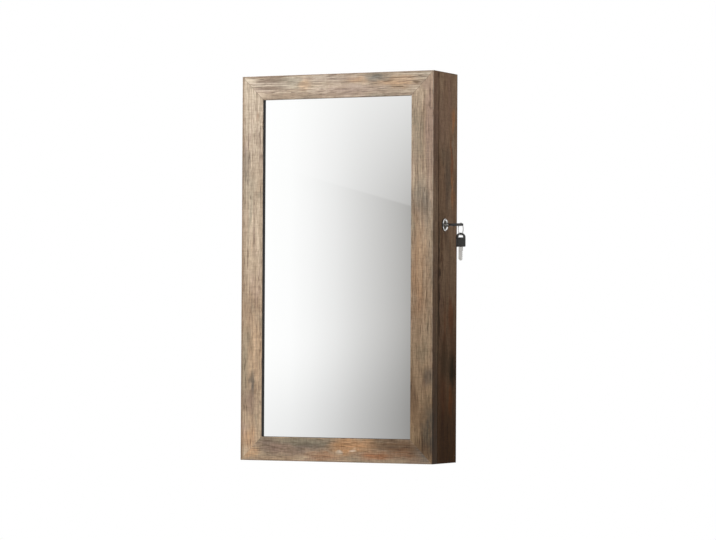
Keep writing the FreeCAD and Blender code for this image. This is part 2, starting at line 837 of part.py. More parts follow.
def blade_pocket():
    x0 = key_head_long - blade_in_head
    half = blade_wide / 2
    tall = blade_thick / 2
    return block(x0, key_head_long, -half, half, -tall, tall)


x_key_end = x_bezel + blade_long - blade_in_lock + key_head_long
ring_y = y_lock + (key_hole_wide + key_head_wide) / 4
ring_z = z_lock - ring_r + ring_wire_r + ring_lift
ring_x = x_key_end - ring_at
spare_z = ring_z - ring_r + ring_wire_r + spare_lift + key_hole_near


def in_lock(shape):
    """Key pushed into the lock, its flat side level."""
    shape.rotate(Vec(), Z_AXIS, 180)
    shape.translate(Vec(x_key_end, y_lock, z_lock))
    return shape


def on_ring(shape):
    """Key hanging from the ring's lowest point, square to the ring."""
    shape.rotate(Vec(), Y_AXIS, 90)
    shape.rotate(Vec(), Z_AXIS, 90)
    shape.translate(Vec(ring_x, ring_y, spare_z))
    return shape


def key_ring():
    return Part.makeTorus(ring_r, ring_wire_r, Vec(ring_x, ring_y, ring_z), X_AXIS)


# Magnet catch and bumpers

z_catch = z_lined_bottom + catch_up


def catch_magnet():
    x0 = x_lined - catch_wide
    y0 = y_door + catch_plate_thick + catch_gap
    y1 = y0 + catch_deep
    half = catch_tall / 2
    outline = [
        Vec(x0, y0, z_catch - half + catch_edge), Vec(x0, y0, z_catch + half - catch_edge),
        Vec(x0, y0 + catch_edge, z_catch + half), Vec(x0, y1, z_catch + half),
        Vec(x0, y1, z_catch - half), Vec(x0, y0 + catch_edge, z_catch - half)]
    return prism(outline, X_AXIS * catch_wide).cut(side_lining_zone())


def side_lining_zone():
    return block(x_lined, x_out, y_case, 0, z_bottom, z_top)


def catch_plate():
    x1 = x_lined - lining
    half = catch_plate_tall / 2
    return block(
        x1 - catch_wide, x1, y_door, y_door + catch_plate_thick, z_catch - half, z_catch + half)


def door_bumpers():
    x = x_out - board / 2
    tall = door_gap - bumper_gap
    ends = (z_top - bumper_inset, z_bottom + bumper_inset)
    return group([rod(bumper_r, Vec(x, y_case - tall, z), Y_AXIS, tall) for z in ends])


def build_case():
    save("side_left", side_board(-1).cut(leaf_screw_holes(1)))
    save("side_right", side_board(1).cut(lock_hole()))
    save("top_panel", end_board(z_in_top, z_top))
    save("bottom_panel", end_board(z_bottom, z_in_bottom))
    save("back_board", back_board())
    save("hanging_rail", hanging_rail())
    save("low_rail", low_rail())
    save("lining_back", lining_back())
    save("lining_walls", lining_walls())
    save("corner_dowels", group([dowel(place, 0) for place in dowel_places()]))
    save("divider", divider())
    save("lower_shelf", shelf(-x_lined, x_lined, z_low_shelf))
    save("middle_shelf", shelf(divider_right, x_lined, z_mid_shelf))
    save("upper_shelf", shelf(divider_right, x_lined, z_high_shelf))
    save("shelf_lips", shelf_lips())
    save("ring_tray", ring_tray())
    for index in range(roll_count):
        save("ring_roll_" + str(index + 1), ring_roll(index))
    save("peg_rail", peg_rail())
    save("necklace_pegs", group([necklace_peg(at) for at in peg_places()]))
    save("catch_magnet", catch_magnet())
    save("door_bumpers", door_bumpers())


def build_hinges():
    for end in ("upper", "lower"):
        save("hinge_case_leaf_" + end, hinge_leaf(hinge_mid(end), 1, 0))
        save("hinge_door_leaf_" + end, hinge_leaf(hinge_mid(end), -1, 1))
        save("hinge_pin_" + end, hinge_pin(hinge_mid(end)))
    save("hinge_case_screws", leaf_screws(1))
    save("hinge_door_screws", leaf_screws(-1))


def build_door():
    screw_holes = group([short_screw_hole(at) for at in door_screw_places()])
    save("stile_left", stile(-1).cut(leaf_screw_holes(-1)).cut(screw_holes))
    save("stile_right", stile(1).cut(keeper_pilot_holes()).cut(screw_holes))
    save("rail_top", rail(z_top, 90).cut(screw_holes))
    save("rail_bottom", rail(z_bottom, -90).cut(screw_holes))
    save("mirror_glass", mirror_glass())
    save("door_board", door_board_sheet())
    save("door_board_screws", door_board_screws())
    save("lining_door", lining_door())
    for index in range(bar_count):
        save("earring_bar_" + str(index + 1), earring_bar(index))
    save("keeper", keeper())
    save("keeper_screws", keeper_screws())
    save("catch_plate", catch_plate())


def build_lock():
    save("lock_body", lock_body())
    save("lock_nut", lock_nut())
    save("lock_plug", lock_plug())
    save("lock_cam", lock_cam())
    save("cam_screw", cam_screw())


def build_keys():
    save("key_head", in_lock(key_head_flat().cut(blade_pocket())))
    save("key_blade", in_lock(key_blade_flat()))
    save("key_ring", key_ring())
    save("spare_head", on_ring(key_head_flat().cut(blade_pocket())))
    save("spare_blade", on_ring(key_blade_flat()))


os.makedirs("parts", exist_ok=True)
build_case()
build_hinges()
build_door()
build_lock()
build_keys()
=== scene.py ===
import math
from functools import reduce
from operator import mul

import bmesh
import bpy
from mathutils import Matrix, Vector, noise as noiseAt


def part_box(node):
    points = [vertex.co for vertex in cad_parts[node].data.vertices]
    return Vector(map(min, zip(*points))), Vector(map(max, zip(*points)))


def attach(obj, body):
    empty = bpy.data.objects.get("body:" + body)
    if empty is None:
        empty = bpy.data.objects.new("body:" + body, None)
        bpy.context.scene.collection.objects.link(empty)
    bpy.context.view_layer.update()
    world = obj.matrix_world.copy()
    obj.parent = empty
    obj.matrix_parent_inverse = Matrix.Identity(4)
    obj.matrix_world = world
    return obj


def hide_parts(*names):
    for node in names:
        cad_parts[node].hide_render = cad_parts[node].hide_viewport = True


bpy.context.scene.view_settings.view_transform = "Standard"
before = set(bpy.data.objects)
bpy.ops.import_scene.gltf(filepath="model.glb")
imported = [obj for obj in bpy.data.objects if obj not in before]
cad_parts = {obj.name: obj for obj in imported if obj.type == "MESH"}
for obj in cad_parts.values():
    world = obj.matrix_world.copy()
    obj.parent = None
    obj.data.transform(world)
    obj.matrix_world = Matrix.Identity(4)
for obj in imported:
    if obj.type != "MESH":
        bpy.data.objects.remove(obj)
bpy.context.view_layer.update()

# Faces and edges of the cabinet that its finishes are placed by

frontY, caseY = -0.099, -0.0765
innerX, outerX = 0.1422, 0.184
topZ, bottomZ = 0.042, -0.628


# Shader graphs; sums of Fields are written as Python sums

class Graph:
    def __init__(self, tree):
        self.tree = tree
        tree.nodes.clear()

    def node(self, kind, settings=None, inputs=None, out=0):
        made = self.tree.nodes.new("ShaderNode" + kind)
        for key, value in (settings or {}).items():
            setattr(made, key, value)
        for key, value in (inputs or {}).items():
            self.feed(made.inputs[key], value)
        return Field(self, made.outputs[out]) if len(made.outputs) else made

    def feed(self, socket, value):
        if isinstance(value, Field):
            self.tree.links.new(value.socket, socket)
        elif isinstance(value, (tuple, list)) and socket.type == "RGBA":
            socket.default_value = (*value, 1.0)
        else:
            socket.default_value = value

    def coordinate(self, kind):
        return self.node("TexCoord", None, None, kind)

    def isRay(self, kind):
        return self.node("LightPath", None, None, "Is %s Ray" % kind)

    def vector(self, operation, *parts, out=0):
        return self.node("VectorMath", {"operation": operation}, dict(enumerate(parts)), out)

    def split(self, vector):
        first = self.node("SeparateXYZ", None, {0: vector})
        return {axis: Field(self, socket) for axis, socket in zip("XYZ", first.socket.node.outputs)}

    def ramp(self, value, stops):
        made = self.node("ValToRGB", None, {"Fac": value})
        ramp = made.socket.node.color_ramp
        while len(ramp.elements) < len(stops):
            ramp.elements.new(0.5)
        for element, (place, colour) in zip(ramp.elements, stops):
            element.position = place
            element.color = (*colour, 1.0)
        return made

    def blend(self, amount, first, second, mode="MIX"):
        settings = {"data_type": "RGBA", "blend_type": mode, "clamp_factor": True}
        return self.node("Mix", settings, {0: amount, 6: first, 7: second}, 2)

    def tinted(self, colour, by):
        return self.blend(1.0, colour, by, "MULTIPLY")

    def band(self, value, low, high):  # 0 below low, 1 above high, smooth between
        settings = {"interpolation_type": "SMOOTHSTEP"}
        return self.node("MapRange", settings, {"Value": value, "From Min": low, "From Max": high})

    def near(self, value, place, full, gone):  # 1 within full of the place, 0 beyond gone
        return 1.0 - self.band(abs(value - place), full, gone)

    def atLeast(self, floor, mask):
        return floor + (1.0 - floor) * mask


class Field:
    def __init__(self, graph, socket):
        self.graph = graph
        self.socket = socket

    def result(self, operation, first, second):
        return self.graph.node("Math", {"operation": operation}, {0: first, 1: second})

    def __add__(self, other): return self.result("ADD", self, other)
    def __radd__(self, other): return self.result("ADD", other, self)
    def __sub__(self, other): return self.result("SUBTRACT", self, other)
    def __rsub__(self, other): return self.result("SUBTRACT", other, self)
    def __mul__(self, other): return self.result("MULTIPLY", self, other)
    def __rmul__(self, other): return self.result("MULTIPLY", other, self)
    def __abs__(self): return self.result("ABSOLUTE", self, 0.0)
    def root(self): return self.result("SQRT", self, 0.0)


def newGraph(name):
    material = bpy.data.materials.new(name)
    material.use_nodes = True
    return material, Graph(material.node_tree)


def finishGraph(graph, surface, height=None, bump=0.3, distance=0.0002):
    if height is not None:
        inputs = {"Strength": bump, "Distance": distance, "Height": height}
        surface["Normal"] = graph.node("Bump", None, inputs)
    shader = graph.node("BsdfPrincipled", None, surface)
    graph.node("OutputMaterial", None, {"Surface": shader})


def placed(graph, scale, shift=(0.0, 0.0, 0.0)):
    inputs = {"Vector": graph.coordinate("Object"), "Location": shift, "Scale": scale}
    return graph.node("Mapping", None, inputs)


def noise(graph, vector, detail=3.0, rough=0.5, warp=0.0, out=0):
    inputs = {"Vector": vector, "Scale": 1.0, "Detail": detail, "Roughness": rough, "Distortion": warp}
    return graph.node("TexNoise", None, inputs, out)


# Wood print: grain along each member, washes, patches, combed lines, dark pores and rubbed arrises; painted
# light and shade in the tones, the arris highlights, the sideways faces and the step by the mirror

woodSettings = {
    "colours": {
        "pale": (0.560, 0.470, 0.365),
        "tan": (0.420, 0.325, 0.240),
        "brown": (0.215, 0.150, 0.105),
        "olive": (0.290, 0.265, 0.205),
        "pink": (0.440, 0.335, 0.285),
        "orange": (0.540, 0.320, 0.170),
        "rust": (0.400, 0.170, 0.075),
        "plum": (0.190, 0.135, 0.125),
        "slate": (0.125, 0.128, 0.122),
        "umber": (0.140, 0.085, 0.050),
        "pore": (0.075, 0.046, 0.030),
        # a light tint for the arrises: partly wear, partly a painted highlight
        "wornHighlight": (0.620, 0.540, 0.440),
        "chalk": (0.720, 0.665, 0.590),
        "ember": (0.900, 0.440, 0.160),
        "moss": (0.030, 0.046, 0.026),
        # near-black for painted shadow and shade
        "paintedShade": (0.006, 0.004, 0.003),
    },
    "layers": {                # waves per metre across and along the grain, detail, roughness, warp
        "wide": (20.0, 6.0, 4.0, 0.6, 0.5),
        "drift": (38.0, 11.0, 4.0, 0.6, 0.7),
        "streaks": (330.0, 8.0, 3.0, 0.6, 0.0),
        "broken": (120.0, 26.0, 3.0, 0.6, 0.0),
        "fine": (1000.0, 60.0, 3.0, 0.6, 0.0),
        "pores": (620.0, 42.0, 2.0, 0.5, 0.0),
        "fleck": (420.0, 150.0, 3.0, 0.6, 0.0),
        "combed": (240.0, 3.4, 0.0, 0.5, 0.0),
        "weave": (75.0, 430.0, 2.0, 0.5, 0.0),
        "rubHighlight": (180.0, 45.0, 3.0, 0.5, 0.0),
        "blur": (80.0, 36.0, 2.0, 0.5, 0.0),
    },
    "seedShift": (1.7, 0.9, 2.3),
    "ground": ("wide", 0.38, 0.62),
    "washes": (                # colour, strength, then each layer with its levels for none and full
        ("pink", 0.6, ("drift", 0.54, 0.70)),
        ("olive", 0.7, ("drift", 0.47, 0.30)),
        ("orange", 0.7, ("wide", 0.60, 0.72), ("drift", 0.50, 0.66)),
        ("brown", 0.55, ("wide", 0.45, 0.28))),
    "patchSoft": 0.6,
    "patchWander": 0.024,
    "patchStreaks": (0.7, 0.35, 0.6),
    "lineTint": (0.42, 0.37, 0.34),
    "lines": ("streaks", 0.48, (0.006, 0.042), "broken", (0.42, 0.58), 0.25),    # drawn where a layer is
    "comb": ("combed", 0.5, (0.02, 0.09), "wide", (0.34, 0.52), 0.35),           # at a level, less by another
    "weaveShade": ((0.32, (0.80, 0.79, 0.78)), (0.5, (1.0, 1.0, 1.0)), (0.68, (1.16, 1.15, 1.14))),
    "marks": (                 # layer, levels for none and full, strength, tint
        ("pores", 0.40, 0.30, 0.75, (0.30, 0.25, 0.22)),
        ("fleck", 0.56, 0.72, 0.5, (1.30, 1.32, 1.36))),
    "fineShade": ((0.28, (0.60, 0.58, 0.56)), (0.5, (0.98, 0.98, 0.98)), (0.72, (1.20, 1.21, 1.22))),
    "darkFrom": 0.0002,
    "darkUneven": (0.5, 0.7),
    "mitreLine": (0.0001, 0.0008),
    "mitreEnd": (0.0418, 0.043),
    "rubbedHighlight": (0.35, 0.60),
    "arrisDepth": (0.0008, 0.0022),
    "arrisWide": (0.0005, 0.0016),
    "arrisAtFoot": 0.25,
    "facing": (0.6, 0.9),
    "lipDepth": (-0.09895, -0.0986),
    "lipEdge": 0.0004,
    "backTint": (0.62, 0.52, 0.44),
    "pits": (0.40, 0.28),
    "relief": (0.4, 0.5, 0.6),    # of the streaks, the fine lines and the pits
    "bump": (0.35, 0.0003),
    "roughness": (0.44, 0.24),    # least, and more with the fine lines
}

# What a member's print has unless it says otherwise. Spots give centre, radii, colour and strength; dark
# edges axis, place, reach and strength; mitres level and strength; arrises, with a painted highlight, axis,
# place and strength; the lip, the step beside the mirror painted near-black as its shadow, axis, sign and
# edge.

usualPrint = {
    "rise": (bottomZ, topZ),
    "lines": 0.75,
    "comb": 0.40,
    "weave": 0.6,
    "gloss": 0.3,
    "spots": (),
    "darkEdges": (),
    "mitres": (),
    "arrises": (),
    "outside": None,
    "lip": None,
}


def grainNoise(g, pattern, kind, out=0):
    across, length, *rest = woodSettings["layers"][kind]
    scale = [length if axis == pattern["along"] else across for axis in "XYZ"]
    shift = [pattern["seed"] * part for part in woodSettings["seedShift"]]
    return noise(g, placed(g, scale, shift), *rest, out)


def spotMask(g, spot, centre, radii):
    soft = woodSettings["patchSoft"]
    away = g.vector("DIVIDE", g.vector("SUBTRACT", spot, centre), radii)
    return 1.0 - g.band(g.vector("LENGTH", away, out="Value"), 1.0 - soft, 1.0 + soft)


def washed(g, pattern, layers, spot):
    s = woodSettings
    paint = s["colours"]
    kind, low, high = s["ground"]
    colour = g.blend(g.band(layers[kind], low, high), paint["tan"], paint["pale"])
    for tint, strength, *bands in s["washes"]:
        mask = reduce(mul, [g.band(layers[kind], low, high) for kind, low, high in bands]) * strength
        colour = g.blend(mask, colour, paint[tint])
    wander = s["patchWander"]
    blur = grainNoise(g, pattern, "blur", "Color")
    ragged = g.vector("SUBTRACT", g.vector("MULTIPLY_ADD", blur, (wander,) * 3, spot), (wander / 2,) * 3)
    least, low, high = s["patchStreaks"]
    for centre, radii, tint, strength in pattern["spots"]:
        mask = spotMask(g, ragged, centre, radii) * g.atLeast(least, g.band(layers["streaks"], low, high))
        colour = g.blend(mask * strength, colour, paint[tint])
    return colour


def lined(g, pattern, layers, colour):
    s = woodSettings
    line = g.tinted(colour, s["lineTint"])
    for key in ("lines", "comb"):
        kind, level, edge, other, levels, least = s[key]
        drawn = g.near(layers[kind], level, *edge) * g.atLeast(least, g.band(layers[other], *levels))
        colour = g.blend(drawn * pattern[key], colour, line)
    colour = g.blend(pattern["weave"], colour, g.tinted(colour, g.ramp(layers["weave"], s["weaveShade"])))
    for kind, low, high, strength, tint in s["marks"]:
        colour = g.blend(g.band(layers[kind], low, high) * strength, colour, g.tinted(colour, tint))
    return g.tinted(colour, g.ramp(layers["fine"], s["fineShade"]))


def edged(g, pattern, layers, axes, rise, colour):
    s = woodSettings
    paint = s["colours"]
    for axis, place, reach, strength in pattern["darkEdges"]:
        uneven = s["darkUneven"][0] + s["darkUneven"][1] * layers["wide"]
        dark = g.near(axes[axis], place, s["darkFrom"], reach) * strength * uneven
        colour = g.blend(dark, colour, paint["umber"])
    for level, strength in pattern["mitres"]:
        away = abs(axes["Z"] - level)
        joint = g.near(outerX - abs(axes["X"]), away, *s["mitreLine"]) * (1.0 - g.band(away, *s["mitreEnd"]))
        colour = g.blend(joint * strength, colour, paint["pore"])
    # Rubbed arrises: a lighter line along the front edges, partly rubbed wear and partly a painted highlight
    # of the lit edge, fainter at the foot
    rubHighlight = g.band(layers["rubHighlight"], *s["rubbedHighlight"])
    front = g.near(axes["Y"], frontY, *s["arrisDepth"])
    for axis, place, strength in pattern["arrises"]:
        rubbedHighlight = g.near(axes[axis], place, *s["arrisWide"]) * front * rubHighlight * strength
        colour = g.blend(rubbedHighlight * g.atLeast(s["arrisAtFoot"], rise), colour, paint["wornHighlight"])
    facing = g.split(g.coordinate("Normal"))
    # Faces turned sideways are tinted darker from foot to top: painted shade, strongest at the right stile's
    # foot
    if pattern["outside"]:
        shade = g.blend(rise, *pattern["outside"])
        colour = g.blend(g.band(abs(facing["X"]), *s["facing"]), colour, g.tinted(colour, shade))
    # The step beside the mirror is painted near-black: a painted shadow
    if pattern["lip"]:
        axis, sign, edge = pattern["lip"]
        inside = g.band(axes["Y"], *s["lipDepth"]) * g.band(axes[axis] * sign, edge, edge + s["lipEdge"])
        colour = g.blend(inside, colour, paint["paintedShade"])
    return g.blend(g.band(facing["Y"], *s["facing"]), colour, g.tinted(colour, s["backTint"]))


def woodPrint(name, changes):
    s = woodSettings
    pattern = {**usualPrint, **changes}
    material, g = newGraph(name)
    spot = g.coordinate("Object")
    axes = g.split(spot)
    rise = g.band(axes["Z"], *pattern["rise"])
    layers = {kind: grainNoise(g, pattern, kind) for kind in s["layers"] if kind != "blur"}
    colour = washed(g, pattern, layers, spot)
    # The tones paint light and shade: each member is made lighter or darker as a whole and, most on the right
    # stile and the right side, darker towards the foot, standing for the lamp's falloff
    colour = g.tinted(colour, g.blend(rise, *pattern["tones"]))
    colour = lined(g, pattern, layers, colour)
    colour = edged(g, pattern, layers, axes, rise, colour)
    fine = layers["fine"]
    least, more = s["roughness"]
    surface = {"Base Color": colour, "Roughness": least + more * fine, "Specular IOR Level": pattern["gloss"]}
    ridges, lines, holes = s["relief"]
    height = layers["streaks"] * ridges + fine * lines - g.band(layers["pores"], *s["pits"]) * holes
    finishGraph(g, surface, height, *s["bump"])
    return material


# Other finishes: bare board, velvet, metal, the lock's chrome, plastic and the mirror

boardSettings = {
    "shift": (3.0, 1.0, 2.0),
    "cloud": 9.0,
    "levels": (0.3, 0.7),
    "shares": (0.7, 0.3),
    "roughness": (0.72, 0.15),
}


def rawBoard(name, colour, dark, fibres=900.0):
    s = boardSettings
    material, g = newGraph(name)
    fibre = noise(g, placed(g, (fibres, fibres, fibres * 0.5), s["shift"]), 4.0, 0.65)
    cloud = noise(g, placed(g, (s["cloud"],) * 3))
    mixed = g.blend(g.band(fibre, *s["levels"]) * s["shares"][0] + cloud * s["shares"][1], dark, colour)
    least, more = s["roughness"]
    finishGraph(g, {"Base Color": mixed, "Roughness": least + more * fibre}, fibre)
    return material


velvetSettings = {
    "pile": 2600.0,
    "brushed": (26.0, 26.0, 18.0),
    "shift": (0.4, 0.1, 0.8),
    "crushed": (0.42, 0.68),
    "crushStrength": 0.8,
    "standing": (0.2, 0.8),
    "roughness": (0.86, 0.1),
    "relief": (0.8, 0.4),         # of the pile and of the brushing
    "bump": 0.5,
    "surface": {
        "Specular IOR Level": 0.15, "Sheen Weight": 0.35, "Sheen Roughness": 0.35,
        "Sheen Tint": (0.62, 0.62, 0.68)},
}


def velvet(name, colour, crush):
    s = velvetSettings
    material, g = newGraph(name)
    pile = noise(g, placed(g, (s["pile"],) * 3), 2.0, 0.6)
    brushed = noise(g, placed(g, s["brushed"], s["shift"]), 4.0, 0.55, 0.8)
    crushed = g.band(brushed, *s["crushed"]) * s["crushStrength"] * g.band(pile, *s["standing"])
    least, more = s["roughness"]
    mixed = g.blend(crushed, colour, crush)
    surface = {"Base Color": mixed, "Roughness": least + more * pile, **s["surface"]}
    finishGraph(g, surface, pile * s["relief"][0] + brushed * s["relief"][1], s["bump"])
    return material


metalSettings = {
    "cloud": 320.0,
    "shift": (1.0, 2.0, 0.5),
    "levels": (0.35, 0.65),
    "brushedRoughness": 0.7,
    "cloudRoughness": 0.05,
    "bumpDeep": 0.0001,
}


def metal(name, colour, rough, brush, mottled, bump):
    s = metalSettings
    material, g = newGraph(name)
    lines = noise(g, placed(g, brush), 3.0, 0.6)
    cloud = noise(g, placed(g, (s["cloud"],) * 3, s["shift"]), 3.0, 0.6)
    dullAndDarkReflection = tuple(c * (1.0 - 2.0 * mottled) for c in colour)
    mixed = g.blend(g.band(cloud, *s["levels"]), dullAndDarkReflection, colour)
    uneven = rough + (lines - 0.5) * rough * s["brushedRoughness"] + cloud * s["cloudRoughness"]
    finishGraph(g, {"Base Color": mixed, "Metallic": 1.0, "Roughness": uneven}, lines, bump, s["bumpDeep"])
    return material


lockSettings = {
    "bright": (0.86, 0.855, 0.84),
    # the next colour is a painted dark reflection on the sides, and also tints the brushed lines
    "dullAndDarkReflection": (0.16, 0.15, 0.14),
    # the next colour is painted shade in the funnel and a painted dark reflection across the middle
    "paintedDark": (0.035, 0.032, 0.030),
    "ahead": (0.25, 0.70),         # how far a face turns to the front before it is bright; faces turned away get the painted dark reflection
    "rim": (0.0064, 0.0080),       # from the lock's axis: the funnel is painted dark inside this, painted shade of the recess
    # the band across the lock's middle is painted dark: a painted reflection
    "beltLevel": -0.0004,
    "belt": (0.0016, 0.0044),
    "beltStrength": 0.85,
    "lines": 400.0,
    "lineLevels": (0.6, 0.8),
    "lineStrength": 0.15,
    "roughness": (0.09, 0.06),
    "bump": (0.03, 0.0001),
}


def lockFinish(name):
    s = lockSettings
    material, g = newGraph(name)
    low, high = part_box("lock_plug")
    middle = (0.0, -(low[1] + high[1]) / 2, -(low[2] + high[2]) / 2)
    spot = g.split(placed(g, (1.0, 1.0, 1.0), middle))
    reach = (spot["Y"] * spot["Y"] + spot["Z"] * spot["Z"]).root()
    facing = g.split(g.coordinate("Normal"))
    lines = noise(g, placed(g, (s["lines"],) * 3), 3.0, 0.6)
    # faces turned away from the front get a painted dark reflection
    colour = g.blend(g.band(facing["X"], *s["ahead"]), s["dullAndDarkReflection"], s["bright"])
    # inside the rim the funnel is painted dark: painted shade of the recess
    colour = g.blend(1.0 - g.band(reach, *s["rim"]), colour, s["paintedDark"])
    # a painted dark reflection in a band across the middle
    colour = g.blend(g.near(spot["Z"], s["beltLevel"], *s["belt"]) * s["beltStrength"], colour, s["paintedDark"])
    colour = g.blend(g.band(lines, *s["lineLevels"]) * s["lineStrength"], colour, s["dullAndDarkReflection"])
    least, more = s["roughness"]
    surface = {"Base Color": colour, "Metallic": 1.0, "Roughness": least + lines * more}
    finishGraph(g, surface, lines, *s["bump"])
    return material


plasticSettings = {
    "scuff": 130.0,
    "shift": (0.3, 0.9, 0.2),
    "levels": (0.55, 0.75),
    "scuffRoughness": 0.12,
    "coatRoughness": 0.12,
    "bump": (0.25, 0.0001),
}


def plastic(name, colour, rough, grain=1500.0, pale=(0.07, 0.07, 0.075), wear=0.4, coat=0.0):
    s = plasticSettings
    material, g = newGraph(name)
    texture = noise(g, placed(g, (grain,) * 3), 2.0)
    scuff = noise(g, placed(g, (s["scuff"],) * 3, s["shift"]), 4.0, 0.65, 0.3)
    surface = {
        "Base Color": g.blend(g.band(scuff, *s["levels"]) * wear, colour, pale),
        "Roughness": rough + scuff * s["scuffRoughness"],
        "Coat Weight": coat, "Coat Roughness": s["coatRoughness"]}
    finishGraph(g, surface, texture, *s["bump"])
    return material


mirrorSettings = {
    "silver": (0.93, 0.935, 0.93),
    "edge": (0.10, 0.24, 0.19),
    "roughness": 0.004,
    "haze": (7.0, 7.0, 5.0),
    "hazeLevels": (0.5, 0.9),
    "hazeRoughness": 0.01,
    "facing": (0.6, 0.8),
    "edgeRoughness": 0.2,
}


def mirrorFinish(name):
    s = mirrorSettings
    material, g = newGraph(name)
    front = g.band(abs(g.split(g.coordinate("Normal"))["Y"]), *s["facing"])
    haze = g.band(noise(g, placed(g, s["haze"]), 4.0, 0.6), *s["hazeLevels"])
    rough = s["roughness"] + haze * s["hazeRoughness"] + (1.0 - front) * s["edgeRoughness"]
    colour = g.blend(front, s["edge"], s["silver"])
    finishGraph(g, {"Base Color": colour, "Metallic": front, "Roughness": rough})
    return material


def dress(node, material):
    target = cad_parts[node]
    if not target.material_slots:
        target.data.materials.append(material)
    for slot in target.material_slots:
        slot.material = material


# Camera

cameraSettings = {
    "place": (2.40100, -4.96086, -0.41618),
    "yaw": 25.877,
    "pitch": 1.259,
    "roll": 0.283,
    "lens": 158.21,
    "sensor": 36.0,
    "farthest": 60.0,
}


def makeCamera():
    s = cameraSettings
    yaw, pitch, roll = (math.radians(s[key]) for key in ("yaw", "pitch", "roll"))
    ahead = Vector((-math.sin(yaw) * math.cos(pitch), math.cos(yaw) * math.cos(pitch), math.sin(pitch)))
    level = Vector((math.cos(yaw), math.sin(yaw), 0.0))
    rise = level.cross(ahead)
    right = level * math.cos(roll) + rise * math.sin(roll)
    upward = rise * math.cos(roll) - level * math.sin(roll)
    camera = bpy.data.cameras.new("camera")
    camera.lens = s["lens"]
    camera.sensor_width = s["sensor"]
    camera.sensor_fit = "HORIZONTAL"
    camera.clip_end = s["farthest"]
    holder = bpy.data.objects.new("camera", camera)
    axes = Matrix((right, upward, -ahead)).transposed()
    holder.matrix_world = Matrix.Translation(s["place"]) @ axes.to_4x4()
    bpy.context.collection.objects.link(holder)
    bpy.context.scene.camera = holder


makeCamera()
print("camera set")


# Studio: pale floor, white beyond it, soft lamps; reflections see a room that is dark on one side

studioSettings = {
    "floorLevel": -1.10,
    "floorReach": 2.3,
    "floorColour": (0.80, 0.80, 0.80),
    "floorMottle": 0.98,
    "floorGlow": 0.62,         # share of white over the paint, rising to all of it further out
    "floorFade": (0.55, 0.92),
    "keyPlace": (-1.00, -1.05, 0.60),
    "keyAim": (-0.02, -0.1, -0.24),
    "keySize": 0.55,
    "keyPower": 36.0,
    "fillPlace": (1.0, -0.5, 0.75),
    "fillAim": (0.18, -0.05, -0.05),
    "fillSize": 0.5,
    "fillPower": 3.2,
    "backPlace": (-0.25, 1.5, 0.15),
    "backAim": (-0.02, 0.0, -0.28),
    "backSize": 0.9,
    "backPower": 26.0,
    "ambient": 0.17,
    "ambientTones": ((0.0, (0.35, 0.34, 0.33)), (0.5, (0.80, 0.80, 0.80)), (1.0, (1.25, 1.26, 1.28))),
    "roomTones": ((0.0, (0.55, 0.55, 0.55)), (0.45, (0.93, 0.93, 0.93)), (0.6, (1.0, 1.0, 1.0))),
    "darkWay": (0.45, 0.89, -0.06),
    "darkReach": (0.55, 0.93),
    "darkStrength": 0.9,
    "darkTone": (0.10, 0.09, 0.08),
    "white": (1.0, 1.0, 1.0),
}


def link(name, mesh):
    piece = bpy.data.objects.new(name, mesh)
    bpy.context.collection.objects.link(piece)
    return piece


def freed(shape, name):  # the shape as a mesh, and the shape let go
    mesh = bpy.data.meshes.new(name)
    shape.to_mesh(mesh)
    shape.free()
    return mesh


def areaLamp(name, place, aim, size, power):
    lamp = bpy.data.lights.new(name, "AREA")
    lamp.shape = "SQUARE"
    lamp.size = size
    lamp.energy = power
    holder = bpy.data.objects.new(name, lamp)
    facing = (Vector(aim) - Vector(place)).to_track_quat("-Z", "Y")
    holder.matrix_world = Matrix.Translation(place) @ facing.to_matrix().to_4x4()
    holder.visible_camera = False
    holder.visible_glossy = False
    bpy.context.collection.objects.link(holder)


def makeWorld():
    s = studioSettings
    world = bpy.data.worlds.new("studio")
    world.use_nodes = True
    bpy.context.scene.world = world
    g = Graph(world.node_tree)
    direct = g.coordinate("Generated")
    height = g.split(direct)["Z"] * 0.5 + 0.5
    soft = g.ramp(height, s["ambientTones"])
    room = g.ramp(height, s["roomTones"])
    towards = g.vector("DOT_PRODUCT", direct, s["darkWay"], out="Value")
    room = g.blend(g.band(towards, *s["darkReach"]) * s["darkStrength"], room, s["darkTone"])
    ambient = g.node("Background", None, {"Color": soft, "Strength": s["ambient"]})
    mirrored = g.node("Background", None, {"Color": room, "Strength": 1.0})
    white = g.node("Background", None, {"Color": s["white"], "Strength": 1.0})
    reflected = g.isRay("Glossy") + g.isRay("Transmission")
    both = g.node("MixShader", None, {0: reflected, 1: ambient, 2: mirrored})
    every = g.node("MixShader", None, {0: g.isRay("Camera"), 1: both, 2: white})
    g.node("OutputWorld", None, {"Surface": every})


def makeFloor():  # the camera sees partly white, partly paint with the object's shadow
    s = studioSettings
    shape = bmesh.new()
    bmesh.ops.create_circle(shape, cap_ends=True, segments=96, radius=s["floorReach"])
    bmesh.ops.translate(shape, verts=shape.verts, vec=(0.0, 0.0, s["floorLevel"]))
    floor = link("floor", freed(shape, "floor"))
    material, g = newGraph("floorPaint")
    reach = g.vector("LENGTH", g.vector("MULTIPLY", g.coordinate("Object"), (1.0, 1.0, 0.0)), out="Value")
    mottle = noise(g, placed(g, (40.0, 40.0, 40.0)))
    paint = g.blend(mottle, tuple(c * s["floorMottle"] for c in s["floorColour"]), s["floorColour"])
    plain = g.node("BsdfPrincipled", None, {"Base Color": paint, "Roughness": 0.9, "Specular IOR Level": 0.1})
    white = g.node("Emission", None, {"Color": s["white"], "Strength": 1.0})
    near, far = s["floorFade"]
    fade = g.atLeast(s["floorGlow"], g.band(reach, near, s["floorReach"] * far))
    share = fade * (g.isRay("Camera") + g.isRay("Glossy"))
    g.node("OutputMaterial", None, {"Surface": g.node("MixShader", None, {0: share, 1: plain, 2: white})})
    floor.data.materials.append(material)


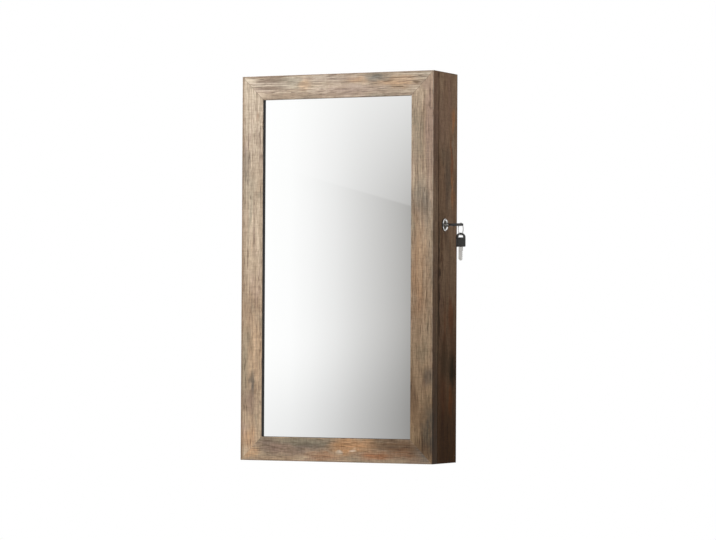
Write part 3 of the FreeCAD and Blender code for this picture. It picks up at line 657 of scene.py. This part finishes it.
# A pale card that only reflections show, to the front left: the mirror has its soft slant of light

cardSettings = {
    "y": -2.0,
    "x": (-1.40, -0.50),
    "z": (-0.90, 0.40),
    "left": -1.138,       # what the mirror's left and right edges and its foot and top show
    "right": -0.743,
    "low": -0.652,
    "high": 0.163,
    "tones": ((0.0, 1.07), (0.18, 1.05), (0.32, 0.985), (0.49, 0.875),
              (0.65, 0.74), (0.82, 0.608), (0.93, 0.515), (1.0, 0.44)),
    "warm": (0.0, 0.016, 0.036),    # red, green and blue lost where the tone is lower
    "white": 1.075,
    "lineAt": 0.767,      # height of the slant line at its pivot, a third of the way across
    "linePivot": 0.33,
    "lineFall": 0.134,
    "lineSoft": 0.004,
    "lineStep": 0.13,
    "topLift": 0.33,
    "footFrom": 0.34,
    "footPivot": 0.6,
    "footReach": 0.36,
    "footSlant": 0.10,
    "footDark": (0.15, 0.14),
}


def makeCard():
    s = cardSettings
    shape = bmesh.new()
    bmesh.ops.create_grid(shape, x_segments=1, y_segments=1, size=0.5)
    bmesh.ops.rotate(shape, verts=shape.verts, matrix=Matrix.Rotation(math.pi / 2, 3, "X"))
    wide, tall = s["x"][1] - s["x"][0], s["z"][1] - s["z"][0]
    bmesh.ops.scale(shape, verts=shape.verts, vec=(wide, 1.0, tall))
    middle = ((s["x"][0] + s["x"][1]) / 2, s["y"], (s["z"][0] + s["z"][1]) / 2)
    bmesh.ops.translate(shape, verts=shape.verts, vec=middle)
    card = link("card", freed(shape, "card"))
    material, g = newGraph("cardGlow")
    axes = g.split(g.coordinate("Object"))
    across = (axes["X"] - s["left"]) * (1.0 / (s["right"] - s["left"]))
    upward = (axes["Z"] - s["low"]) * (1.0 / (s["high"] - s["low"]))
    tones = [(place, [tone - lost * (1.0 - tone) for lost in s["warm"]]) for place, tone in s["tones"]]
    glow = g.ramp(across, tones)
    line = upward - s["lineAt"] + (across - s["linePivot"]) * s["lineFall"]
    above = s["lineStep"] + s["topLift"] * line * (1.0 / (1.0 - s["lineAt"]))
    lift = g.band(line, -s["lineSoft"], s["lineSoft"]) * above
    glow = g.blend(lift, glow, (s["white"],) * 3)
    foot = g.band(s["footFrom"] - upward + (across - s["footPivot"]) * s["footSlant"], 0.0, s["footReach"])
    power = 1.0 - foot * (s["footDark"][0] + s["footDark"][1] * across)
    g.node("OutputMaterial", None, {"Surface": g.node("Emission", None, {"Color": glow, "Strength": power})})
    card.data.materials.append(material)
    card.visible_camera = False
    card.visible_diffuse = False
    card.visible_transmission = False
    card.visible_shadow = False


def makeStudio():
    s = studioSettings
    areaLamp("keyLamp", s["keyPlace"], s["keyAim"], s["keySize"], s["keyPower"])
    areaLamp("fillLamp", s["fillPlace"], s["fillAim"], s["fillSize"], s["fillPower"])
    areaLamp("backLamp", s["backPlace"], s["backAim"], s["backSize"], s["backPower"])
    makeWorld()
    makeFloor()
    makeCard()


makeStudio()
print("studio lit")


# Finishes on the CAD nodes

spotDeep = 0.02


def onFront(*rows):  # x, z, reach across and up, colour, strength, and the depth where it is another
    return [((x, frontY, z), (wide, (*deep, spotDeep)[0], tall), tint, strength)
            for x, z, wide, tall, tint, strength, *deep in rows]


def onSide(x, *rows):  # y, z, reach in depth and up, colour, strength
    return [((x, y, z), (spotDeep, wide, tall), tint, strength) for y, z, wide, tall, tint, strength in rows]


# Tones, at foot and top, are painted light and shade of the lamp's falloff: members lighter or darker as a
# whole, the right stile and right side much darker at the foot
plainTone = (0.80, 0.75, 0.70)
prints = {
    "stile_left": {
        "along": "Z", "seed": 1.0, "tones": ((1.06, 0.97, 0.86), (0.92, 0.91, 0.90)),
        "mitres": ((topZ, 0.55), (bottomZ, 0.25)),
        "arrises": [("X", -innerX, 0.5)], "lip": ("X", 1.0, -innerX - 0.0012),
        "outside": ((0.7, 0.62, 0.55), (0.7, 0.62, 0.55)),
        "darkEdges": [("X", -outerX, 0.007, 0.85), ("X", -innerX, 0.0025, 0.30)],
        "spots": onFront(
            (-0.177, -0.115, 0.009, 0.030, "slate", 0.45),
            (-0.168, -0.160, 0.018, 0.030, "olive", 0.30),
            (-0.158, -0.110, 0.012, 0.060, "pale", 0.60),
            (-0.161, -0.494, 0.0050, 0.018, "slate", 0.95),
            (-0.168, -0.525, 0.014, 0.022, "plum", 0.50),
            (-0.160, -0.040, 0.014, 0.080, "pale", 0.30),
            (-0.165, -0.290, 0.014, 0.060, "tan", 0.35),
            (-0.158, -0.440, 0.016, 0.050, "orange", 0.25),
            (-0.168, -0.590, 0.016, 0.016, "orange", 0.40),
            (-0.176, -0.460, 0.008, 0.060, "olive", 0.60))},
    "stile_right": {
        "along": "Z", "seed": 4.0, "tones": ((0.52, 0.41, 0.29), (0.90, 0.84, 0.78)), "rise": (-0.66, -0.10),
        "weave": 0.55,
        "mitres": ((topZ, 0.45), (bottomZ, 0.15)),
        "arrises": [("X", outerX, 0.45), ("X", innerX, 0.4)], "lip": ("X", -1.0, -innerX - 0.0012),
        "outside": ((0.28, 0.24, 0.20), (0.80, 0.68, 0.60)),
        "spots": onFront(
            (0.161, -0.175, 0.014, 0.030, "slate", 0.55),
            (0.170, -0.200, 0.012, 0.024, "slate", 0.40),
            (0.178, -0.060, 0.008, 0.100, "pink", 0.70),
            (0.156, -0.075, 0.010, 0.050, "olive", 0.50),
            (0.160, -0.300, 0.014, 0.090, "orange", 0.40),
            (0.176, -0.330, 0.008, 0.060, "tan", 0.60),
            (0.160, -0.430, 0.014, 0.050, "pale", 0.40),
            (0.177, -0.480, 0.010, 0.016, "slate", 0.65, 0.006),
            (0.178, -0.570, 0.013, 0.040, "slate", 0.95, 0.006),
            (0.163, -0.600, 0.016, 0.016, "umber", 0.60))},
    "rail_top": {
        "along": "X", "seed": 2.0, "tones": ((1.07, 1.09, 1.10), (1.07, 1.09, 1.10)),
        "mitres": ((topZ, 0.55),), "lines": 0.85, "comb": 0.75, "weave": 0.3,
        "darkEdges": [("Z", topZ, 0.004, 0.75), ("Z", 0.0002, 0.002, 0.35)],
        "spots": onFront(
            (-0.062, 0.024, 0.012, 0.008, "orange", 0.40),
            (0.036, 0.030, 0.016, 0.006, "orange", 0.50),
            (0.118, 0.026, 0.034, 0.010, "orange", 0.50),
            (-0.010, 0.034, 0.060, 0.006, "plum", 0.35),
            (-0.130, 0.024, 0.034, 0.012, "plum", 0.35),
            (0.078, 0.033, 0.022, 0.006, "slate", 0.60),
            (0.020, 0.012, 0.060, 0.008, "pink", 0.50),
            (0.150, 0.022, 0.006, 0.003, "umber", 0.80))},
    "rail_bottom": {
        "along": "X", "seed": 7.0, "tones": ((0.94, 0.86, 0.76), (0.94, 0.86, 0.76)),
        "mitres": ((bottomZ, 0.08),), "weave": 0.8, "comb": 0.15,
        "lip": ("Z", 1.0, bottomZ + 0.0406), "darkEdges": [("Z", bottomZ, 0.004, 0.50)],
        "spots": onFront(
            (-0.122, -0.600, 0.026, 0.014, "plum", 0.80),
            (-0.045, -0.597, 0.048, 0.012, "slate", 0.75),
            (-0.060, -0.592, 0.060, 0.008, "olive", 0.60),
            (-0.078, -0.610, 0.034, 0.010, "plum", 0.50),
            (-0.165, -0.615, 0.018, 0.008, "orange", 0.60),
            (0.024, -0.600, 0.030, 0.014, "orange", 0.95),
            (0.062, -0.600, 0.024, 0.010, "orange", 0.70),
            (0.078, -0.617, 0.024, 0.007, "rust", 0.85),
            (-0.020, -0.618, 0.030, 0.006, "rust", 0.50),
            (0.009, -0.608, 0.006, 0.003, "chalk", 0.85),
            (0.034, -0.607, 0.006, 0.003, "chalk", 0.80),
            (0.120, -0.598, 0.052, 0.016, "umber", 0.95),
            (0.150, -0.612, 0.040, 0.018, "umber", 0.75),
            (0.120, -0.614, 0.030, 0.007, "rust", 0.25),
            (0.172, -0.606, 0.014, 0.022, "slate", 0.90))},
    "side_right": {
        "along": "Z", "seed": 11.0, "tones": ((0.165, 0.085, 0.030), (0.88, 0.70, 0.58)),
        "rise": (-0.68, -0.05), "comb": 0.22, "weave": 0.5, "lines": 0.5, "gloss": 0.08,
        "darkEdges": [("Y", 0.0, 0.003, 0.8), ("Y", caseY, 0.0025, 0.7), ("Z", topZ, 0.002, 0.5)],
        "spots": onSide(outerX,
            (-0.017, -0.042, 0.006, 0.020, "ember", 0.50),
            (-0.017, -0.078, 0.003, 0.008, "chalk", 0.45),
            (-0.024, -0.110, 0.004, 0.040, "rust", 0.70),
            (-0.019, -0.160, 0.006, 0.028, "ember", 0.40),
            (-0.040, -0.140, 0.010, 0.050, "slate", 0.60),
            (-0.060, -0.040, 0.020, 0.050, "pink", 0.50),
            # near-black streak beside the door edge: painted shade
            (-0.0745, -0.330, 0.004, 0.120, "paintedShade", 0.80),
            (-0.062, -0.270, 0.0025, 0.060, "umber", 0.70),
            (-0.026, -0.376, 0.009, 0.030, "rust", 0.60),
            (-0.048, -0.400, 0.008, 0.040, "rust", 0.40),
            (-0.018, -0.468, 0.014, 0.024, "moss", 0.85),
            (-0.050, -0.450, 0.016, 0.030, "moss", 0.45),
            (-0.024, -0.525, 0.007, 0.026, "ember", 0.55),
            (-0.058, -0.560, 0.008, 0.022, "plum", 0.50),
            (-0.055, -0.520, 0.012, 0.040, "rust", 0.40),
            # near-black at the foot of the side: painted shade
            (-0.050, -0.590, 0.050, 0.050, "paintedShade", 0.35))},
    "side_left": {
        "along": "Z", "seed": 16.0, "tones": ((0.55, 0.47, 0.40), (0.80, 0.74, 0.68)),
        "darkEdges": [("Y", 0.0, 0.003, 0.6), ("Y", caseY, 0.0025, 0.5)],
        "spots": onSide(-outerX,
            (-0.040, -0.200, 0.014, 0.060, "orange", 0.60),
            (-0.025, -0.420, 0.012, 0.050, "slate", 0.70),
            (-0.060, -0.500, 0.012, 0.060, "rust", 0.40))},
    "top_panel": {
        "along": "X", "seed": 21.0, "tones": (plainTone, plainTone),
        "spots": [((0.050, -0.040, topZ), (0.040, 0.014, 0.02), "orange", 0.50),
                  ((-0.090, -0.030, topZ), (0.040, 0.012, 0.02), "slate", 0.50)]},
    "bottom_panel": {
        "along": "X", "seed": 25.0, "tones": ((0.60, 0.53, 0.46), (0.60, 0.53, 0.46)),
        "spots": [((-0.040, -0.040, bottomZ), (0.050, 0.014, 0.02), "plum", 0.50)]},
    "shelf_lips": {"along": "X", "seed": 29.0, "tones": (plainTone, plainTone)},
}
for node, changes in prints.items():
    dress(node, woodPrint("print_" + node, changes))
print("wood print done")

board = rawBoard("hardboard", (0.330, 0.215, 0.125), (0.205, 0.125, 0.070))
pine = rawBoard("railPine", (0.560, 0.430, 0.280), (0.430, 0.310, 0.190), fibres=300.0)
dress("back_board", board)
dress("door_board", board)
for node in ("hanging_rail", "low_rail", "corner_dowels"):
    dress(node, pine)

blackVelvet = velvet("blackVelvet", (0.014, 0.014, 0.016), (0.032, 0.032, 0.036))
for node in ("lining_back", "lining_walls", "lining_door"):
    dress(node, blackVelvet)
blackBoard = velvet("velvetBoard", (0.016, 0.016, 0.018), (0.036, 0.036, 0.040))
for node in ("divider", "lower_shelf", "middle_shelf", "upper_shelf", "ring_tray", "peg_rail"):
    dress(node, blackBoard)
blackMetal = plastic("barEnamel", (0.018, 0.018, 0.020), rough=0.38, grain=2200.0)
for number in (1, 2, 3):
    dress("earring_bar_%d" % number, blackMetal)

dress("mirror_glass", mirrorFinish("mirrorSilver"))
chrome = metal("chrome", (0.84, 0.84, 0.83), rough=0.10, brush=(300.0,) * 3, mottled=0.05, bump=0.03)
for node in ("lock_nut", "necklace_pegs"):
    dress(node, chrome)
dress("lock_body", lockFinish("lockChrome"))
# the plug's nickel is darkened to stand for the shade of the recess it sits in: partly its own metal, partly
# painted shade
plugNickelPaintedShade = metal("plugNickelPaintedShade", (0.30, 0.28, 0.25), rough=0.30, brush=(300.0,) * 3, mottled=0.15, bump=0.06)
dress("lock_plug", plugNickelPaintedShade)
zinc = metal("zincPlate", (0.62, 0.62, 0.60), rough=0.30, brush=(500.0,) * 3, mottled=0.14, bump=0.12)
for node in ("lock_cam", "cam_screw", "keeper", "keeper_screws", "catch_plate", "door_board_screws",
             "hinge_case_screws", "hinge_door_screws"):
    dress(node, zinc)
nickel = metal("hingeNickel", (0.66, 0.64, 0.60), rough=0.22, brush=(900.0, 900.0, 40.0),
               mottled=0.10, bump=0.10)
for part in ("case_leaf", "door_leaf", "pin"):
    for level in ("upper", "lower"):
        dress("hinge_%s_%s" % (part, level), nickel)
keyNickel = metal("keyNickel", (0.90, 0.89, 0.86), rough=0.38, brush=(600.0, 600.0, 90.0),
                  mottled=0.05, bump=0.08)
for node in ("key_blade", "spare_blade", "key_ring"):
    dress(node, keyNickel)
keyPlastic = plastic("keyPlastic", (0.026, 0.025, 0.024), rough=0.30, grain=1800.0,
                     pale=(0.075, 0.074, 0.072), wear=0.8, coat=0.7)
for node in ("key_head", "spare_head"):
    dress(node, keyPlastic)
dress("catch_magnet", plastic("catchPlastic", (0.020, 0.020, 0.021), rough=0.45))
bumperFelt = plastic("bumperFelt", (0.10, 0.085, 0.07), rough=0.9, grain=3000.0, pale=(0.16, 0.14, 0.12))
dress("door_bumpers", bumperFelt)
print("finishes done")


# Helpers for the pieces made here

sharpFrom = math.radians(35)
upZ = (0.0, 0.0, 1.0)


def finished(name, mesh, material, body, node):
    for face in mesh.polygons:
        face.use_smooth = True
    mesh.set_sharp_from_angle(angle=sharpFrom)
    piece = link(name, mesh)
    mesh.materials.clear()
    mesh.materials.append(material)
    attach(piece, body)
    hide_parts(node)
    return piece


def asMesh(shape, name):
    bmesh.ops.remove_doubles(shape, verts=shape.verts, dist=0.000002)
    bmesh.ops.recalc_face_normals(shape, faces=shape.faces)
    return freed(shape, name)


def through(mesh, modifiers):  # the mesh as it comes out of these modifiers
    holder = link("workpiece", mesh)
    for kind, settings in modifiers:
        modifier = holder.modifiers.new(kind.lower(), kind)
        for key, value in settings.items():
            setattr(modifier, key, value)
    seen = holder.evaluated_get(bpy.context.evaluated_depsgraph_get())
    made = bpy.data.meshes.new_from_object(seen)
    bpy.data.objects.remove(holder)
    return made


def carved(mesh, cutter):
    tool = link("cutter", cutter)
    made = through(mesh, [("BOOLEAN", {"operation": "DIFFERENCE", "solver": "EXACT", "object": tool})])
    bpy.data.objects.remove(tool)
    return made


def extent(points):  # lowest and highest corner
    points = list(points)
    return [Vector(pick(point[i] for point in points) for i in range(3)) for pick in (min, max)]


def sliced(shape, at, across, **more):
    bmesh.ops.bisect_plane(shape, geom=shape.verts[:] + shape.edges[:] + shape.faces[:],
                           plane_co=at, plane_no=across, **more)


def extruded(shape):  # the new verts, still in place
    grown = bmesh.ops.extrude_face_region(shape, geom=shape.faces[:])
    return [v for v in grown["geom"] if isinstance(v, bmesh.types.BMVert)]


def bevelled(shape, geom, offset, segments, affect="EDGES"):
    bmesh.ops.bevel(shape, geom=geom, offset=offset, affect=affect, segments=segments,
                    profile=0.5, material=-1)


def solidBoxes(node):  # extent of each separate solid of a CAD node
    shape = bmesh.new()
    shape.from_mesh(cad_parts[node].data)
    bmesh.ops.remove_doubles(shape, verts=shape.verts, dist=0.000001)
    boxes, left = [], set(shape.verts)
    while left:
        grown, edge = [], [left.pop()]
        while edge:
            vert = edge.pop()
            grown.append(vert.co.copy())
            near = [other for other in (e.other_vert(vert) for e in vert.link_edges) if other in left]
            left.difference_update(near)
            edge.extend(near)
        boxes.append(extent(grown))
    shape.free()
    return sorted(boxes, key=lambda box: tuple(round(value, 4) for value in box[0]))


def spunShape(profile, steps):  # profile: distance from the Z axis and height, from pole to pole
    shape = bmesh.new()
    verts = [shape.verts.new((reach, 0.0, height)) for reach, height in profile]
    edges = [shape.edges.new(pair) for pair in zip(verts, verts[1:])]
    bmesh.ops.spin(shape, geom=verts + edges, cent=(0.0, 0.0, 0.0), axis=upZ,
                   angle=2 * math.pi, steps=steps, use_merge=True)
    return shape


# Screws with a cross recess, turned a little differently in each hole

screwSettings = {
    "steps": 36,
    "recessReach": 0.56,     # of the head's radius
    "recessWide": 0.30,      # of the recess's reach
    "recessDeep": 0.0007,
    "recessTaper": 0.55,
    "turn": (0.7, 1.9),      # of the first head, and further at each next one
    "flush": [(0.0, 0.0), (0.00200, 0.0), (0.00226, -0.00006), (0.0023, -0.00018), (0.0012, -0.0009),
              (0.0011, -0.0012), (0.0011, -0.0075), (0.0, -0.0099)],
    "pan": [(0.0, 0.0), (0.0010, -0.00006), (0.0018, -0.00028), (0.0024, -0.00066), (0.0027, -0.0011),
            (0.0028, -0.0016), (0.0012, -0.0016), (0.0011, -0.0019), (0.0011, -0.0080), (0.0, -0.0082)],
}


def recessCutter(headReach):
    s = screwSettings
    shape = bmesh.new()
    bmesh.ops.create_grid(shape, x_segments=3, y_segments=3, size=headReach * s["recessReach"])
    far = headReach * s["recessReach"] * 0.6
    corners = [f for f in shape.faces if min(abs(v) for v in f.calc_center_median()[:2]) > far / 2]
    bmesh.ops.delete(shape, geom=corners, context="FACES")
    for vert in shape.verts:
        for i in (0, 1):
            if abs(vert.co[i]) < far:
                vert.co[i] *= 3 * s["recessWide"] / 2
    deep = extruded(shape)
    bmesh.ops.translate(shape, verts=deep, vec=(0.0, 0.0, -2 * s["recessDeep"]))
    bmesh.ops.scale(shape, verts=deep, vec=(s["recessTaper"], s["recessTaper"], 1.0))
    bmesh.ops.translate(shape, verts=shape.verts, vec=(0.0, 0.0, s["recessDeep"]))
    return asMesh(shape, "recess")


def makeScrews(name, node, kind, towards, body):  # towards: +1 when the heads face the wall
    s = screwSettings
    profile = s[kind]
    master = carved(asMesh(spunShape(profile, s["steps"]), "screw"), recessCutter(max(r for r, z in profile)))
    joined = bmesh.new()
    for index, (low, high) in enumerate(solidBoxes(node)):
        head = Vector(((low.x + high.x) / 2, high.y if towards > 0 else low.y, (low.z + high.z) / 2))
        turn = s["turn"][0] + index * s["turn"][1]
        turned = Matrix.Rotation(-towards * math.pi / 2, 4, "X") @ Matrix.Rotation(turn, 4, "Z")
        copy = master.copy()
        copy.transform(Matrix.Translation(head) @ turned)
        joined.from_mesh(copy)
    finished(name, asMesh(joined, name), zinc, body, node)


makeScrews("hingeCaseScrews", "hinge_case_screws", "flush", -1, "case")
makeScrews("hingeDoorScrews", "hinge_door_screws", "flush", 1, "door")
makeScrews("doorBoardScrews", "door_board_screws", "pan", 1, "door")
makeScrews("keeperScrews", "keeper_screws", "pan", 1, "door")
print("screws made")


# Split ring: flat wire wound twice round

ringSettings = {
    "turns": 1.94,
    "steps": 150,
    "wireTall": 0.00066,     # along the ring's axis
    "wireDeep": 0.00130,
    "edge": 0.00018,
    "startsAt": -130,        # degrees round the ring
}


def makeRing():
    s = ringSettings
    low, high = (Vector(corner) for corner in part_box("key_ring"))
    middle = (low + high) / 2
    reach = (high.z - low.z) / 2 - s["wireDeep"] / 2
    climb = (high.x - low.x) - s["wireTall"]
    shape = bmesh.new()
    bmesh.ops.create_cube(shape, size=1.0)
    cut = [f for f in shape.faces if abs(f.normal.y) < 0.5]
    bmesh.ops.delete(shape, geom=cut, context="FACES_ONLY")
    back = [v for v in shape.verts if v.co.y > 0]
    bmesh.ops.delete(shape, geom=back, context="VERTS")
    bmesh.ops.scale(shape, verts=shape.verts, vec=(s["wireTall"], 0.0, s["wireDeep"]))
    bevelled(shape, shape.verts[:], s["edge"], 3, "VERTICES")
    bmesh.ops.translate(shape, verts=shape.verts, vec=(-climb / 2, 0.0, reach))
    step = climb / s["steps"]
    bmesh.ops.spin(shape, geom=shape.faces[:], cent=(0.0, 0.0, 0.0), axis=(1.0, 0.0, 0.0),
                   dvec=(step, 0.0, 0.0), angle=s["turns"] * 2 * math.pi, steps=s["steps"])
    bmesh.ops.rotate(shape, verts=shape.verts, matrix=Matrix.Rotation(math.radians(s["startsAt"]), 3, "X"))
    bmesh.ops.translate(shape, verts=shape.verts, vec=middle)
    finished("splitRing", asMesh(shape, "splitRing"), keyNickel, "ring", "key_ring")


makeRing()
print("ring wound")


# Key heads: half-round end with a hole for the ring, softened rims and a sunk grip on each side

headSettings = {
    "crownLeft": 0.00002,    # flat left at the middle of the half-round end
    "crownSteps": 22,
    "shoulder": 0.0012,
    "shoulderSteps": 4,
    "holeReach": 0.00515,
    "holeNear": 0.0030,
    "holeFar": 0.0080,
    "holeSteps": 56,
    "rim": 0.0010,
    "rimSteps": 4,
    "rimFrom": math.radians(50),
    "gripTop": 0.0098,
    "gripFoot": 0.0014,
    "gripInset": 0.0013,
    "gripStep": 0.0005,
    "gripDeep": 0.00035,
}


def headMesh(wide, thick, tall):  # crown at the origin, length down Z, width along X
    s = headSettings
    shape = bmesh.new()
    bmesh.ops.create_cube(shape, size=1.0)
    bmesh.ops.scale(shape, verts=shape.verts, vec=(wide, thick, tall))
    bmesh.ops.translate(shape, verts=shape.verts, vec=(0.0, 0.0, -tall / 2))
    upright = [e for e in shape.edges if abs(e.verts[0].co.y - e.verts[1].co.y) > thick / 2]
    crown = [e for e in upright if e.verts[0].co.z > -tall / 2]
    foot = [e for e in upright if e.verts[0].co.z < -tall / 2]
    bevelled(shape, crown, wide / 2 - s["crownLeft"], s["crownSteps"])
    bevelled(shape, foot, s["shoulder"], s["shoulderSteps"])
    for level in (-s["gripTop"], s["gripFoot"] - tall):
        sliced(shape, (0.0, 0.0, level), upZ)
    middle = -(s["gripTop"] + tall - s["gripFoot"]) / 2
    flats = [f for f in shape.faces if abs(f.normal.y) > 0.9]
    grips = [f for f in flats if abs(f.calc_center_median().z - middle) < 0.002]
    for thickness, depth in ((s["gripInset"], 0.0), (s["gripStep"], -s["gripDeep"])):
        bmesh.ops.inset_individual(shape, faces=grips, thickness=thickness, depth=depth)
    hole = bmesh.new()
    bmesh.ops.create_circle(hole, cap_ends=True, segments=s["holeSteps"], radius=s["holeReach"])
    bmesh.ops.rotate(hole, verts=hole.verts, matrix=Matrix.Rotation(math.pi / 2, 3, "X"))
    bmesh.ops.translate(hole, verts=hole.verts, vec=(0.0, -thick, -s["holeNear"] - s["holeReach"]))
    sliced(hole, (0.0, 0.0, -s["holeFar"]), upZ, clear_inner=True)
    bmesh.ops.translate(hole, verts=extruded(hole), vec=(0.0, 2 * thick, 0.0))
    raw = carved(asMesh(shape, "head"), asMesh(hole, "headHole"))
    rounded = {"width": s["rim"], "segments": s["rimSteps"],
               "limit_method": "ANGLE", "angle_limit": s["rimFrom"]}
    return through(raw, [("BEVEL", rounded)])


def makeHeads():
    for node, name, body in (("key_head", "keyHead", "key"), ("spare_head", "spareKeyHead", "spare_key")):
        low, high = (Vector(corner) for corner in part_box(node))
        middle, size = (low + high) / 2, high - low
        if node == "key_head":
            mesh = headMesh(size.y, size.z, size.x)
            turn = Matrix.Rotation(math.pi / 2, 4, "Y") @ Matrix.Rotation(math.pi / 2, 4, "Z")
            crown = Vector((high.x, middle.y, middle.z))
        else:
            mesh = headMesh(size.x, size.y, size.z)
            turn = Matrix.Identity(4)
            crown = Vector((middle.x, middle.y, high.z))
        mesh.transform(Matrix.Translation(crown) @ turn)
        finished(name, mesh, keyPlastic, body, node)


makeHeads()
print("key heads made")


# Ring rolls: a padded form swells under pressure, then it is fitted to its place and drawn in at the seams

rollSettings = {
    "count": 6,
    "start": (0.985, 0.84, 0.84),    # of the roll's length, depth and height before it swells
    "round": 0.006,
    "voxel": 0.0042,
    "pressure": 4.0,
    "frames": 20,
    "cap": 0.0035,
    "seam": 0.0075,       # in from each end
    "seamDeep": 0.0011,
    "seamWide": 0.0022,
    "seamReach": 0.0003,
    "weld": 0.00002,
    "wave": 0.00035,
    "waves": 70.0,        # per metre
    "waveShift": (3.1, 1.7, 0.0),
    "waveCore": 0.006,
}


def swollen(mesh):
    s = rollSettings
    before = [vert.co.copy() for vert in mesh.vertices]
    pad = link("rollPad", mesh)
    cloth = pad.modifiers.new("cloth", "CLOTH")
    cloth.settings.use_pressure = True
    cloth.settings.uniform_pressure_force = s["pressure"]
    cloth.settings.effector_weights.gravity = 0.0
    cloth.point_cache.frame_start = 1
    cloth.point_cache.frame_end = s["frames"]
    for step in range(1, s["frames"] + 1):
        bpy.context.scene.frame_set(step)
    seen = pad.evaluated_get(bpy.context.evaluated_depsgraph_get())
    made = bpy.data.meshes.new_from_object(seen)
    bpy.context.scene.frame_set(1)
    bpy.data.objects.remove(pad)
    for vert, old in zip(made.vertices, before):
        move = vert.co - old
        if move.length > s["cap"]:
            vert.co = old + move * (s["cap"] / move.length)
    return made


def rollForm(size):
    s = rollSettings
    shape = bmesh.new()
    bmesh.ops.create_cube(shape, size=1.0)
    bmesh.ops.scale(shape, verts=shape.verts, vec=Vector(s["start"]) * size)
    bevelled(shape, shape.edges[:], s["round"], 4)
    blank = through(asMesh(shape, "roll"), [("REMESH", {"mode": "VOXEL", "voxel_size": s["voxel"]})])
    return swollen(blank)


def fittedRoll(form, low, high, seed):
    s = rollSettings
    shape = bmesh.new()
    shape.from_mesh(form)
    near, far = extent(v.co for v in shape.verts)
    share = [(high[i] - low[i]) / (far[i] - near[i]) for i in range(3)]
    bmesh.ops.scale(shape, verts=shape.verts, vec=share)
    middle = (low + high) / 2
    half = (high.x - low.x) / 2
    for place in (s["seam"] - half, half - s["seam"]):
        for off in (-s["seamWide"], 0.0, s["seamWide"]):
            sliced(shape, (place + off, 0.0, 0.0), (1.0, 0.0, 0.0), dist=s["weld"])
        ring = [v for v in shape.verts if abs(v.co.x - place) < s["seamReach"]]
        widest = max(v.co.yz.length for v in ring)
        inward = 1.0 - s["seamDeep"] / widest
        bmesh.ops.scale(shape, verts=ring, vec=(1.0, inward, inward))
    apart = Vector([seed * part for part in s["waveShift"]])
    for vert in shape.verts:
        ripple = noiseAt.noise(vert.co * s["waves"] + apart) * s["wave"]
        vert.co *= 1.0 - abs(ripple) / max(vert.co.length, s["waveCore"])
    bmesh.ops.translate(shape, verts=shape.verts, vec=middle)
    return asMesh(shape, "roll")


def makeRolls():
    s = rollSettings
    form = None
    for index in range(s["count"]):
        node = "ring_roll_%d" % (index + 1)
        low, high = (Vector(corner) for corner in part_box(node))
        form = form or rollForm(high - low)
        mesh = fittedRoll(form, low, high, index)
        piece = finished("ringRoll%d" % (index + 1), mesh, rollVelvet, "case", node)
        smooth = piece.modifiers.new("smooth", "SUBSURF")
        smooth.levels = smooth.render_levels = 1


rollVelvet = velvet("rollVelvet", (0.016, 0.016, 0.018), (0.040, 0.040, 0.045))
makeRolls()
print("ring rolls made")
